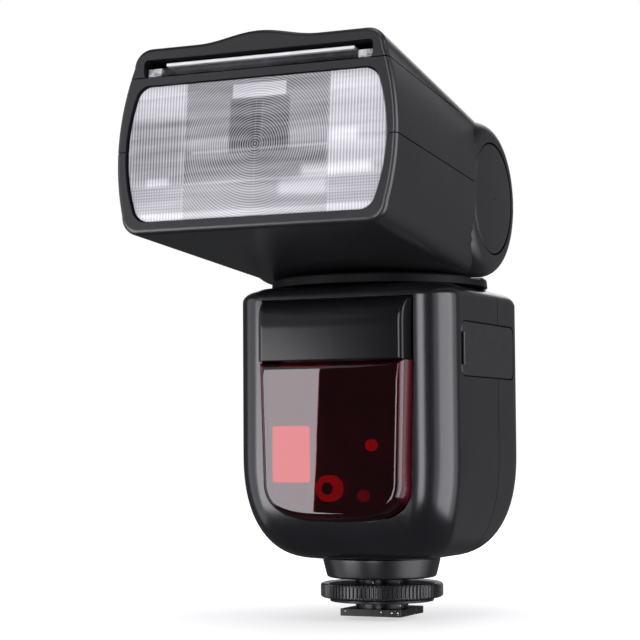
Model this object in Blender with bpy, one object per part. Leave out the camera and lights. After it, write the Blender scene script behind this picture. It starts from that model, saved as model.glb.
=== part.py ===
"""Speedlight flash: a tilting, swivelling head on a hand-sized body with a shoe foot.

The origin is the centre of the shoe foot's underside. +Z is up and the lens faces -Y.
Sizes below are millimetres; every mesh is scaled to metres as it is made. The head's pieces are
modelled in the head's own frame, whose origin is the middle of the tilt axis and whose -Y points
along the beam, and hang on the empty "head_pivot".
"""

import math

import bmesh
import bpy
from mathutils import Vector

MM = 0.001
GAP = 0.3  # clearance between neighbouring pieces
WALL = 2.2  # moulded casing walls

# Shoe foot and its lock
FOOT_WIDTH = 18.6
FOOT_LENGTH = 18.0
FOOT_THICK = 2.0
STEM_RADIUS = 7.5
STEM_FLANGE_RADIUS = 12.5
STEM_FLANGE_THICK = 2.0
PIN_TRAVEL = 0.7
CLAMP_RADIUS = 14.8
CLAMP_BOTTOM = 3.9
CLAMP_THICK = 0.8
RING_RADIUS = 17.5
RING_THICK = 4.2
RING_TEETH = 90
RING_TOOTH_DEPTH = 0.45
COLLAR_BOTTOM = 10.6
COLLAR_FOOT_RADIUS = 15.7
COLLAR_TOP_RADIUS = 16.8
COLLAR_WALL = 2.0
LOCK_PIN_RADIUS = 1.0
LOCK_PIN_Y = -5.6
SCREW_SHANK = 1.1  # radii of the small screws
SCREW_HEAD = 2.2

# Body
BODY_WIDTH = 64.8
BODY_DEPTH = 63.9
BODY_CENTRE_Y = 1.15
BODY_BOTTOM = 16.3
BODY_TOP = 92.4
BODY_CORNER = 10.0
LOWER_ROUND_IN = 16.0  # how far the underside's rounding reaches in
LOWER_ROUND_UP = 30.0  # and how far up the sides
LOWER_ROUND_POWER = 2.4
UPPER_ROUND_IN = 6.0
UPPER_ROUND_DOWN = 4.0
SEAM_Y = 9.6
PROUD = 5.2  # how far the front panel and window stand in front of the body
WINDOW_TOP = 70.9
WINDOW_BOTTOM = 28.2
WINDOW_HALF = 21.4
WINDOW_DRAFT = 1.0
WINDOW_WALL = 1.6
WINDOW_NARROWING = 0.9  # how much the straight sides close in on each side
WINDOW_BEND_Z = 40.0  # where the straight sides turn into the round lower end
PANEL_TOP = 88.2
PANEL_BEND = 8.2  # height over which the panel's top bends back

# Battery, ports and what is inside
BATTERY_LENGTH = 50.0
BATTERY_THICK = 19.0
BATTERY_HEIGHT = 54.0
BATTERY_BOTTOM = 28.0
BATTERY_FRONT_Y = -10.4
LATCH_LENGTH = 9.0
LATCH_HEIGHT = 3.6
LATCH_TRAVEL = 3.0
COVER_FRONT_Y = -19.7
COVER_REAR_Y = 23.0
COVER_BOTTOM = 66.9
COVER_TOP = 81.8
COVER_THICK = 1.2
NOTCH_LENGTH = 2.2  # the cover's finger notch
NOTCH_HALF = 4.4
PORT_FRONT_Y = -14.0
PORT_REAR_Y = 18.0
PORT_BOTTOM = 69.5
PORT_TOP = 79.5
CAPACITOR_RADIUS = 6.8
CAPACITOR_LENGTH = 42.0
TRAY_THICK = 1.6
LAMP_WIDTH = 10.2  # the lens of the focusing lamp behind the window
LAMP_DEPTH = 3.2
LAMP_MARGIN = 0.8  # from the window's side wall to the lamp
SENSOR_OFFSET = 6.4  # from the lamp to the middle of the sensor ring
SENSOR_RADIUS = 3.6
SENSOR_HOLE = 1.3
BOARD_THICK = 1.6

# Controls on the back
DISPLAY_HALF = 21.0
DISPLAY_BOTTOM = 59.0
DISPLAY_TOP = 82.0
BEZEL_HALF = 26.0
BEZEL_BOTTOM = 48.5
BEZEL_TOP = 86.0
BEZEL_THICK = 1.2
KEY_HALF_X = 3.7
KEY_HALF_Z = 1.8
KEY_Z = 53.4
KEY_PITCH = 11.0
KEY_PROUD = 2.2
ROUND_KEY_RADIUS = 3.0
ROUND_KEY_X = 18.0
ROUND_KEY_Z = 39.5
DIAL_Z = 37.0
DIAL_RADIUS = 11.5
DIAL_HOLE_RADIUS = 6.5
DIAL_THICK = 2.6
SWITCH_X = 13.6
SWITCH_Z = 28.6
SWITCH_TRAVEL = 5.0
SWITCH_HALF_X = 2.2
SWITCH_HALF_Z = 1.4

# Turret
TABLE_RADIUS = 30.8
TABLE_THICK = 2.6
TUBE_RADIUS = 13.5
TUBE_WALL = 4.0
HINGE_Y = -3.3
HINGE_Z = 116.65
BARREL_RADIUS = 18.6
YOKE_HALF = 23.3
NECK_HALF = 8.5
SHAFT_RADIUS = 3.5

# Head, in its own frame
HEAD_TILT = 5.4  # degrees that the beam points up with the head in its lowest position
TILT_RANGE = 84.6
HEAD_LENGTH = 79.0
HEAD_HALF_FRONT = 39.4
HEAD_HALF_REAR = 35.8
HEAD_TOP_FRONT = 27.6
HEAD_TOP_REAR = 22.0
HEAD_BOTTOM = -21.8
HEAD_SIDE_BULGE = 3.6
HEAD_CORNER = 5.0
HUMP_HEIGHT = 2.2
HUMP_HALF = 17.0
HUMP_LENGTH = 20.0
EAR_RADIUS = 21.8
EAR_ROUND = 5.2
EAR_HALF = 36.0  # outer face of the ears
CAP_RADIUS = 15.5
CAP_THICK = 3.0
RIM_DEPTH = 4.0
LENS_TOP = 17.2
LENS_BOTTOM = -18.4
LENS_HALF = 36.4
LENS_BULGE = 3.3
LENS_THICK = 2.2
LENS_INSET = 0.8
LENS_CORNER = 2.6
COVER_SEAM_Z = 19.6
COVER_SEAM_END_Y = -24.0
MID_SEAM_FRONT_Z = 0.1
MID_SEAM_REAR_Z = 1.4
SLOT_BOTTOM = COVER_SEAM_Z
SLOT_TOP = 24.3
SLOT_HALF = 32.3
WIDE_PANEL_HALF = 31.6
WIDE_PANEL_THICK = 1.2
WIDE_PANEL_LENGTH = 44.0
CARD_HALF = 26.6
CARD_THICK = 0.8
CARD_LENGTH = 42.0
PANEL_LIP_HEIGHT = 1.9
CAVITY_REAR_Y = -21.5
REFLECTOR_HALF = 20.5
REFLECTOR_DEPTH = 15.0
REFLECTOR_MOUTH = 12.5
REFLECTOR_WALL = 0.8
CARRIAGE_LENGTH = 18.0
CARRIAGE_FRONT_Y = -58.0
CARRIAGE_WALL = 1.6
TUBE_LAMP_RADIUS = 2.0
SCREW_ROD_X = 26.6
SCREW_ROD_Z = -11.0
SCREW_ROD_RADIUS = 1.4
MOTOR_RADIUS = 4.0
MOTOR_LENGTH = 10.0

# What follows from the sizes above
BODY_HALF = BODY_WIDTH / 2
BODY_FRONT = BODY_CENTRE_Y - BODY_DEPTH / 2
BODY_REAR = BODY_CENTRE_Y + BODY_DEPTH / 2
FACE_Y = BODY_FRONT - PROUD
RING_BOTTOM = CLAMP_BOTTOM + CLAMP_THICK + GAP
COLLAR_TOP = BODY_BOTTOM - GAP
FLANGE_BOTTOM = COLLAR_BOTTOM + COLLAR_WALL + GAP
FLANGE_TOP = FLANGE_BOTTOM + STEM_FLANGE_THICK
TABLE_BOTTOM = BODY_TOP + GAP
TABLE_TOP = TABLE_BOTTOM + TABLE_THICK
EAR_INNER = YOKE_HALF + GAP
TOP_SLOPE = (HEAD_TOP_FRONT - HEAD_TOP_REAR) / HEAD_LENGTH
BATTERY_TOP = BATTERY_BOTTOM + BATTERY_HEIGHT
BATTERY_REAR_Y = BATTERY_FRONT_Y + BATTERY_THICK
FOOT_SCREW_X = (STEM_RADIUS + STEM_FLANGE_RADIUS) / 2
NOTCH_Z = (COVER_BOTTOM + COVER_TOP) / 2
DIAL_SLEEVE = DIAL_HOLE_RADIUS + 1.6
FAR = 200.0  # longer than anything here, for cutters


def clear_scene():
    """Remove whatever the file opened with."""
    for obj in list(bpy.data.objects):
        bpy.data.objects.remove(obj)


def make_material(name, colour, roughness, metallic=0.0):
    """A Principled material with one colour, roughness and metallic value."""
    material = bpy.data.materials.new(name)
    material.use_nodes = True
    shader = material.node_tree.nodes["Principled BSDF"]
    shader.inputs["Base Color"].default_value = (*colour, 1.0)
    shader.inputs["Roughness"].default_value = roughness
    shader.inputs["Metallic"].default_value = metallic
    return material


# Solids. Each is built in millimetres at the origin of its frame.


def solid_from(points, faces, name="solid"):
    """A closed mesh object from points in millimetres, with its faces turned outwards."""
    mesh = bpy.data.meshes.new(name)
    mesh.from_pydata([Vector(p) * MM for p in points], [], faces)
    work = bmesh.new()
    work.from_mesh(mesh)
    bmesh.ops.triangulate(work, faces=[f for f in work.faces if len(f.verts) == 4])
    bmesh.ops.recalc_face_normals(work, faces=work.faces)
    work.to_mesh(mesh)
    work.free()
    obj = bpy.data.objects.new(name, mesh)
    bpy.context.scene.collection.objects.link(obj)
    return obj


def loft(rings):
    """A skin over rings of equally many points, closed by a flat face at each end."""
    count = len(rings[0])
    points = [point for ring in rings for point in ring]
    faces = []
    for level in range(len(rings) - 1):
        for i in range(count):
            j = (i + 1) % count
            low = level * count
            faces.append((low + i, low + j, low + count + j, low + count + i))
    faces.append(tuple(range(count)))
    last = (len(rings) - 1) * count
    faces.append(tuple(range(last, last + count)))
    return solid_from(points, faces)


def place(axis, along, a, b):
    """The point `along` an axis, with a and b on the two other axes in X, Y, Z order."""
    return {"X": (along, a, b), "Y": (a, along, b), "Z": (a, b, along)}[axis]


def prism(outline, axis, low, high):
    """An outline in the plane across the axis, extruded from low to high."""
    return loft([[place(axis, along, a, b) for a, b in outline] for along in (low, high)])


def box(x, y, z):
    """A box from (low, high) pairs."""
    return prism([(x[0], y[0]), (x[1], y[0]), (x[1], y[1]), (x[0], y[1])], "Z", *z)


def turned(profile, axis="Z", centre=(0.0, 0.0), segments=40):
    """A solid of revolution. The profile is a list of (along, radius) that starts and ends on
    the axis, or a closed loop off the axis."""
    on_axis = profile[0][1] == 0.0
    points = []
    if on_axis:
        points = [place(axis, along, *centre) for along, _ in (profile[0], profile[-1])]
        profile = profile[1:-1]
    start = len(points)
    for along, radius in profile:
        for i in range(segments):
            angle = math.tau * (i + 0.5) / segments
            a = centre[0] + radius * math.cos(angle)
            b = centre[1] + radius * math.sin(angle)
            points.append(place(axis, along, a, b))
    rows = len(profile)
    faces = []
    for row in range(rows - 1 if on_axis else rows):
        for i in range(segments):
            j = (i + 1) % segments
            low = start + row * segments
            high = start + (row + 1) % rows * segments
            faces.append((low + i, low + j, high + j, high + i))
    if on_axis:
        last = start + (rows - 1) * segments
        for i in range(segments):
            j = (i + 1) % segments
            faces.append((0, start + j, start + i))
            faces.append((1, last + i, last + j))
    return solid_from(points, faces)


def rod(axis, centre, radius, low, high, segments=32):
    """A cylinder along an axis."""
    return turned([(low, 0.0), (low, radius), (high, radius), (high, 0.0)], axis, centre, segments)


def tube(axis, centre, outer, inner, low, high, segments=40):
    """A cylinder with a hole through it."""
    profile = [(low, inner), (low, outer), (high, outer), (high, inner)]
    return turned(profile, axis, centre, segments)


def rounded_rectangle(low, high, radius, steps=5):
    """A rectangle's outline between two corner points, with round corners."""
    outline = []
    corners = ((high[0], high[1], 0), (low[0], high[1], 90), (low[0], low[1], 180), (high[0], low[1], 270))
    for x, y, start in corners:
        cx = x - radius if x == high[0] else x + radius
        cy = y - radius if y == high[1] else y + radius
        for step in range(steps + 1):
            angle = math.radians(start + 90 * step / steps)
            outline.append((cx + radius * math.cos(angle), cy + radius * math.sin(angle)))
    return outline


def join(target, other, operation="DIFFERENCE", keep=False):
    """Apply a Boolean of `other` to `target`, and drop `other` unless it is kept."""
    modifier = target.modifiers.new(operation, "BOOLEAN")
    modifier.operation = operation
    modifier.object = other
    graph = bpy.context.evaluated_depsgraph_get()
    mesh = bpy.data.meshes.new_from_object(target.evaluated_get(graph))
    target.modifiers.clear()
    target.data = mesh
    if not keep:
        bpy.data.objects.remove(other)
    return target


def cut(target, *cutters):
    """Take each cutter away from the target."""
    for cutter in cutters:
        join(target, cutter)
    return target


def add(target, *others):
    """Fuse the others into the target."""
    for other in others:
        join(target, other, "UNION")
    return target


def copy_of(obj):
    """A second object with its own mesh."""
    twin = obj.copy()
    twin.data = obj.data.copy()
    bpy.context.scene.collection.objects.link(twin)
    return twin


def finish(obj, name, material, origin=(0.0, 0.0, 0.0), parent=None, smooth=30.0):
    """Name a piece, put its origin at `origin` of its frame, and hang it on its parent."""
    obj.name = name
    obj.data.name = name
    shift = Vector(origin) * MM
    for vertex in obj.data.vertices:
        vertex.co -= shift
    obj.location = shift
    obj.data.materials.clear()
    obj.data.materials.append(material)
    obj.data.shade_smooth()
    obj.data.set_sharp_from_angle(angle=math.radians(smooth))
    if parent is not None:
        obj.parent = parent
    return obj


# Foot


def add_pins(foot, materials):
    """The centre contact and the four small ones: spring pins in blind holes in the foot."""
    small = [(-4.6, 3.2), (4.6, 3.2), (-2.6, 5.6), (2.6, 5.6)]
    places = [("centre_contact", 0.0, 0.0, 1.6)]
    places += [(f"contact_pin_{i + 1}", x, y, 0.7) for i, (x, y) in enumerate(small)]
    pin_top = 5.0
    for name, x, y, radius in places:
        cut(foot, rod("Z", (x, y), radius + GAP, -1.0, pin_top + PIN_TRAVEL + GAP, 14))
        pin = turned(
            [
                (-0.7, 0.0),
                (-0.7, radius * 0.6),
                (-0.4, radius),
                (pin_top, radius),
                (pin_top, 0.0),
            ],
            "Z",
            (x, y),
            14,
        )
        finish(pin, name, materials["gold"])


def make_foot(materials):
    """Shoe foot with its threaded stem and flange, its contacts, lock pin and two screws."""
    half_w, half_l = FOOT_WIDTH / 2, FOOT_LENGTH / 2
    foot = prism(rounded_rectangle((-half_w, -half_l), (half_w, half_l), 0.8, 3), "Z", 0.0, FOOT_THICK)
    stem = turned(
        [
            (FOOT_THICK / 2, 0.0),
            (FOOT_THICK / 2, STEM_RADIUS),
            (FLANGE_BOTTOM, STEM_RADIUS),
            (FLANGE_BOTTOM, STEM_FLANGE_RADIUS),
            (FLANGE_TOP, STEM_FLANGE_RADIUS),
            (FLANGE_TOP, 0.0),
        ]
    )
    add(foot, stem)
    add_pins(foot, materials)
    cut(foot, rod("Z", (0.0, LOCK_PIN_Y), LOCK_PIN_RADIUS + GAP, -1.0, FLANGE_TOP + 1.0, 14))
    for side, name in ((-1, "foot_screw_left"), (1, "foot_screw_right")):
        centre = (side * FOOT_SCREW_X, 0.0)
        cut(foot, rod("Z", centre, SCREW_SHANK + GAP, FLANGE_BOTTOM - 1.0, FLANGE_TOP + 1.0, 14))
        floor = BODY_BOTTOM + WALL + GAP
        screw = turned(
            [
                (FLANGE_BOTTOM + 0.2, 0.0),
                (FLANGE_BOTTOM + 0.2, SCREW_SHANK),
                (floor, SCREW_SHANK),
                (floor, SCREW_HEAD),
                (floor + 1.4, SCREW_HEAD),
                (floor + 1.4, 0.0),
            ],
            "Z",
            centre,
            20,
        )
        finish(screw, name, materials["steel"])
    finish(foot, "shoe_foot", materials["black_metal"])
    pin = rod("Z", (0.0, LOCK_PIN_Y), LOCK_PIN_RADIUS, 0.4, FLANGE_TOP - GAP, 20)
    finish(pin, "lock_pin", materials["steel"], (0.0, LOCK_PIN_Y, 0.4))


def make_lock(materials):
    """Knurled lock ring on the stem, and the thin clamp plate that it drives down."""
    outline = []
    for i in range(2 * RING_TEETH):
        angle = math.pi * i / RING_TEETH
        radius = RING_RADIUS - RING_TOOTH_DEPTH * (i % 2)
        outline.append((radius * math.cos(angle), radius * math.sin(angle)))
    ring = prism(outline, "Z", RING_BOTTOM, RING_BOTTOM + RING_THICK)
    bore = STEM_RADIUS + GAP
    cut(ring, rod("Z", (0.0, 0.0), bore, RING_BOTTOM - 1.0, RING_BOTTOM + RING_THICK + 1.0))
    finish(ring, "lock_ring", materials["black_plastic"])
    plate = tube("Z", (0.0, 0.0), CLAMP_RADIUS, bore, CLAMP_BOTTOM, CLAMP_BOTTOM + CLAMP_THICK)
    finish(plate, "clamp_plate", materials["black_metal"])


def make_collar(materials):
    """Tapered collar between the lock ring and the body, hollow for the stem's flange."""
    inner = STEM_FLANGE_RADIUS + GAP
    web_top = COLLAR_BOTTOM + COLLAR_WALL
    collar = turned(
        [
            (COLLAR_BOTTOM, STEM_RADIUS + GAP),
            (COLLAR_BOTTOM, COLLAR_FOOT_RADIUS - 0.5),
            (COLLAR_BOTTOM + 0.5, COLLAR_FOOT_RADIUS),
            (COLLAR_TOP, COLLAR_TOP_RADIUS),
            (COLLAR_TOP, inner),
            (web_top, inner),
            (web_top, STEM_RADIUS + GAP),
        ],
        segments=40,
    )
    finish(collar, "foot_collar", materials["black_plastic"])


# Body casing


def body_inset(z, wall):
    """How far the casing has drawn in at a height, for the skin `wall` inside the outside."""
    bottom, top = BODY_BOTTOM + wall, BODY_TOP - wall
    up, down = LOWER_ROUND_UP - wall, UPPER_ROUND_DOWN - wall * 0.5
    inset = 0.0
    if z < bottom + up:
        reach = min(max((bottom + up - z) / up, 0.0), 1.0)
        power = LOWER_ROUND_POWER
        inset = (LOWER_ROUND_IN - wall) * (1 - (1 - reach**power) ** (1 / power))
    if z > top - down:
        reach = min(max((z - top + down) / down, 0.0), 1.0)
        inset = (UPPER_ROUND_IN - wall) * (1 - math.sqrt(1 - reach**2))
    return inset


def body_form(wall):
    """The body's rounded block, `wall` inside its outside."""
    bottom, top = BODY_BOTTOM + wall, BODY_TOP - wall
    up, down = LOWER_ROUND_UP - wall, UPPER_ROUND_DOWN - wall * 0.5
    steps = 6
    levels = [bottom + up * (1 - math.cos(math.pi / 2 * i / steps)) for i in range(steps + 1)]
    levels += [top - down * math.cos(math.pi / 2 * i / 3) for i in range(4)]
    rings = []
    for z in levels:
        inset = body_inset(z, wall) + wall
        low = (-BODY_HALF + inset, BODY_FRONT + inset)
        high = (BODY_HALF - inset, BODY_REAR - inset)
        outline = rounded_rectangle(low, high, BODY_CORNER - wall, 4)
        rings.append([(x, y, z) for x, y in outline])
    return loft(rings)


def window_outline(shrink=0.0, draft=0.0):
    """The window's shield shape in X and Z: straight tapering sides and a round lower end.

    The lower end is a superellipse of power 3 from the bend height down to the bottom.
    """
    half = WINDOW_HALF + draft - shrink
    half_low = half - WINDOW_NARROWING
    bottom = WINDOW_BOTTOM - draft + shrink
    outline = [(half, WINDOW_TOP - shrink)]
    steps = 16
    for i in range(steps + 1):
        angle = math.pi * i / steps
        c, s = math.cos(angle), math.sin(angle)
        x = half_low * math.copysign(abs(c) ** (2 / 3), c)
        z = WINDOW_BEND_Z - (WINDOW_BEND_Z - bottom) * s ** (2 / 3)
        outline.append((x, z))
    outline.append((-half, WINDOW_TOP - shrink))
    return outline


def make_window(materials):
    """Red translucent window: a deep cap that fills the lower part of the front opening."""
    stations = [
        (FACE_Y, 0.8, 0.0),
        (FACE_Y + 0.3, 0.25, 0.0),
        (FACE_Y + 0.9, 0.0, 0.0),
        (BODY_FRONT, 0.0, WINDOW_DRAFT),
        (BODY_FRONT + 6.0, 0.0, WINDOW_DRAFT),
    ]
    rings = [[(x, y, z) for x, z in window_outline(s, d)] for y, s, d in stations]
    window = loft(rings)
    stations = [
        (FACE_Y + WINDOW_WALL, 0.0),
        (BODY_FRONT, WINDOW_DRAFT),
        (BODY_FRONT + 7.0, WINDOW_DRAFT),
    ]
    hollow = [[(x, y, z) for x, z in window_outline(WINDOW_WALL, d)] for y, d in stations]
    cut(window, loft(hollow))
    finish(window, "red_window", materials["red_clear"])


def make_front_panel(materials):
    """Gloss panel above the window, whose top bends back to the body."""
    foot = WINDOW_TOP + GAP
    rings = []
    steps = 5
    depths = [PROUD * (1 - math.cos(math.pi / 2 * i / steps)) for i in range(steps + 1)]
    stations = [(d, 0.8 if i == 0 else 0.0) for i, d in enumerate(depths)] + [(PROUD + 5.0, 0.0)]
    for depth, shrink in stations:
        reach = min(depth / PROUD, 1.0)
        half = WINDOW_HALF + WINDOW_DRAFT * reach - shrink
        top = PANEL_TOP - PANEL_BEND * (1 - math.sqrt(1 - (1 - reach) ** 2))
        y = FACE_Y + depth
        rings.append([(-half, y, foot), (half, y, foot), (half, y, top), (-half, y, top)])
    panel = loft(rings)
    inside = box(
        (-WINDOW_HALF + WALL, WINDOW_HALF - WALL),
        (FACE_Y + WALL, BODY_FRONT + 8.0),
        (foot + WALL, PANEL_TOP - PANEL_BEND + 1.0),
    )
    cut(panel, inside)
    finish(panel, "front_panel", materials["gloss_black"])


def cut_front_opening(shell):
    """The opening that the window and the panel fill."""
    depth = (FACE_Y - 5.0, BODY_FRONT + 7.0)
    half = WINDOW_HALF + WINDOW_DRAFT + GAP
    cut(
        shell,
        prism(window_outline(-GAP, WINDOW_DRAFT), "Y", *depth),
        box((-half, half), depth, (WINDOW_TOP - 1.0, PANEL_TOP + GAP)),
    )


def cover_outline(grow):
    """The port cover's outline in Y and Z, on the right side."""
    low = (COVER_FRONT_Y - grow, COVER_BOTTOM - grow)
    high = (COVER_REAR_Y + grow, COVER_TOP + grow)
    return rounded_rectangle(low, high, 2.4 + grow)


def cut_side_openings(shell):
    """The port cover's pocket, deeper under its finger notch, the ports and the battery."""
    pocket_x = BODY_HALF - COVER_THICK - GAP
    cut(
        shell,
        prism(cover_outline(GAP), "X", pocket_x, FAR),
        box(
            (pocket_x - 0.4, FAR),
            (COVER_FRONT_Y - 0.1, COVER_FRONT_Y + NOTCH_LENGTH),
            (NOTCH_Z - NOTCH_HALF, NOTCH_Z + NOTCH_HALF),
        ),
        box((BODY_HALF - 8.0, FAR), (PORT_FRONT_Y, PORT_REAR_Y), (PORT_BOTTOM, PORT_TOP)),
        box(
            (-FAR, -BODY_HALF + 12.0),
            (BATTERY_FRONT_Y - GAP, BATTERY_REAR_Y + GAP),
            (BATTERY_BOTTOM - GAP, BATTERY_TOP + GAP),
        ),
    )


def make_shells(materials):
    """Front and rear halves of the body's casing, parted at the side seam."""
    casing = cut(body_form(0.0), body_form(WALL))
    swivel_hole = TUBE_RADIUS + GAP
    cut(casing, rod("Z", (0.0, 0.0), swivel_hole, BODY_TOP - 4.0, BODY_TOP + 4.0, 40))
    cut(casing, rod("Z", (0.0, 0.0), 5.0, BODY_BOTTOM - 4.0, BODY_BOTTOM + 4.0))
    for side in (-1, 1):
        centre = (side * FOOT_SCREW_X, 0.0)
        hole = rod("Z", centre, SCREW_SHANK + GAP, BODY_BOTTOM - 1.0, BODY_BOTTOM + WALL + 1.0, 20)
        cut(casing, hole)
    cut_side_openings(casing)

    front = copy_of(casing)
    cut(front, box((-FAR, FAR), (SEAM_Y - GAP / 2, FAR), (-FAR, FAR)))
    cut_front_opening(front)
    cut(front, latch_box(GAP, LATCH_TRAVEL))
    finish(front, "front_shell", materials["black_plastic"])

    rear = casing
    cut(rear, box((-FAR, FAR), (-FAR, SEAM_Y + GAP / 2), (-FAR, FAR)))
    boss = rod("Y", (0.0, DIAL_Z), DIAL_RADIUS + 1.0, BODY_REAR - 3.6, BODY_REAR)
    add(rear, boss)
    cut_rear_openings(rear)
    finish(rear, "rear_shell", materials["black_plastic"])


def latch_box(grow=0.0, travel=0.0):
    """The battery latch's slider on the left side above the battery, or the cutter for its slot."""
    low_y = BATTERY_FRONT_Y + 3.0
    z = BATTERY_TOP + 1.2
    return box(
        (-BODY_HALF - 0.8, -BODY_HALF + 5.0),
        (low_y - grow, low_y + LATCH_LENGTH + travel + grow),
        (z - grow, z + LATCH_HEIGHT + grow),
    )


def key_places():
    """The four function keys' X places."""
    return [(i - 1.5) * KEY_PITCH for i in range(4)]


def key_block(x, grow, low, high):
    """A function key's stem, or the cutter for its hole."""
    return box(
        (x - KEY_HALF_X - grow, x + KEY_HALF_X + grow),
        (low, high),
        (KEY_Z - KEY_HALF_Z - grow, KEY_Z + KEY_HALF_Z + grow),
    )


def cut_rear_openings(shell):
    """Holes in the rear shell for the display, keys, dial and power switch."""
    deep, out = BODY_REAR - 8.0, BODY_REAR + 4.0
    display = rounded_rectangle(
        (-DISPLAY_HALF - GAP, DISPLAY_BOTTOM - GAP), (DISPLAY_HALF + GAP, DISPLAY_TOP + GAP), 1.5, 3
    )
    cut(shell, prism(display, "Y", deep, out))
    for x in key_places():
        cut(shell, key_block(x, GAP, deep, out))
    for side in (-1, 1):
        centre = (side * ROUND_KEY_X, ROUND_KEY_Z)
        cut(shell, rod("Y", centre, ROUND_KEY_RADIUS + GAP, deep, out, 24))
    cut(shell, rod("Y", (0.0, DIAL_Z), DIAL_SLEEVE + GAP, deep, out))
    reach_x, reach_z = SWITCH_HALF_X + GAP, SWITCH_HALF_Z + GAP
    cut(
        shell,
        box(
            (SWITCH_X - reach_x, SWITCH_X + SWITCH_TRAVEL + reach_x),
            (deep, out),
            (SWITCH_Z - reach_z, SWITCH_Z + reach_z),
        ),
    )


def make_body_details(materials):
    """What sits in the openings: port cover, ports, battery, latch key and window parts."""
    cover = prism(cover_outline(0.0), "X", BODY_HALF - COVER_THICK, BODY_HALF)
    notch_z = (NOTCH_Z - NOTCH_HALF, NOTCH_Z + NOTCH_HALF)
    cut(cover, box((-FAR, FAR), (COVER_FRONT_Y - 1.0, COVER_FRONT_Y + NOTCH_LENGTH), notch_z))
    finish(cover, "port_cover", materials["rubber"], (BODY_HALF, COVER_REAR_Y, COVER_BOTTOM))

    port_x = BODY_HALF - WALL - GAP
    ports = box(
        (port_x - 7.0, port_x),
        (PORT_FRONT_Y, PORT_REAR_Y),
        (PORT_BOTTOM + GAP, PORT_TOP - GAP),
    )
    middle = (PORT_BOTTOM + PORT_TOP) / 2
    for y, radius in ((-8.0, 1.8), (0.0, 2.4)):
        cut(ports, rod("X", (y, middle), radius, port_x - 5.0, port_x + 1.0, 24))
    cut(ports, box((port_x - 5.0, port_x + 1.0), (6.0, 14.0), (middle - 1.4, middle + 1.4)))
    finish(ports, "port_block", materials["black_plastic"])

    battery = box(
        (-BODY_HALF, -BODY_HALF + BATTERY_LENGTH),
        (BATTERY_FRONT_Y, BATTERY_REAR_Y),
        (BATTERY_BOTTOM, BATTERY_TOP),
    )
    join(battery, body_form(0.0), "INTERSECT")
    finish(battery, "battery_pack", materials["black_plastic"])
    finish(latch_box(), "battery_latch", materials["black_plastic"])

    tray_y = BODY_FRONT + 2.0
    outline = window_outline(WINDOW_WALL + GAP, WINDOW_DRAFT * 0.9)
    tray = prism(outline, "Y", tray_y, tray_y + TRAY_THICK)
    finish(tray, "window_tray", materials["black_plastic"])
    front = tray_y - GAP
    lamp_left = -(WINDOW_HALF - WINDOW_WALL - LAMP_MARGIN)
    lamp_right = lamp_left + LAMP_WIDTH
    lamp = box((lamp_left, lamp_right), (front - LAMP_DEPTH, front), (38.0, 53.5))
    finish(lamp, "assist_lamp", materials["red_clear"])
    eye = (lamp_right + SENSOR_OFFSET, 36.4)
    ring = tube("Y", eye, SENSOR_RADIUS, SENSOR_HOLE, front - LAMP_DEPTH, front, 32)
    finish(ring, "sensor_ring", materials["red_lamp"])
    for name, x, z in (("indicator_upper", 9.8, 48.1), ("indicator_lower", 7.4, 34.4)):
        dome = turned(
            [(front, 0.0), (front, 1.6), (front - 1.6, 1.6), (front - 2.6, 1.0), (front - 3.0, 0.0)],
            "Y",
            (x, z),
            20,
        )
        finish(dome, name, materials["red_lamp"])

    board_y = BODY_REAR - 7.0
    board = box((-21.0, 21.0), (board_y - BOARD_THICK, board_y), (29.0, 78.0))
    finish(board, "main_board", materials["board_green"])
    half = CAPACITOR_LENGTH / 2
    centre = (BATTERY_REAR_Y + GAP + CAPACITOR_RADIUS + 1.0, 37.0)
    finish(rod("X", centre, CAPACITOR_RADIUS, -half, half), "flash_capacitor", materials["steel"])


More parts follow.
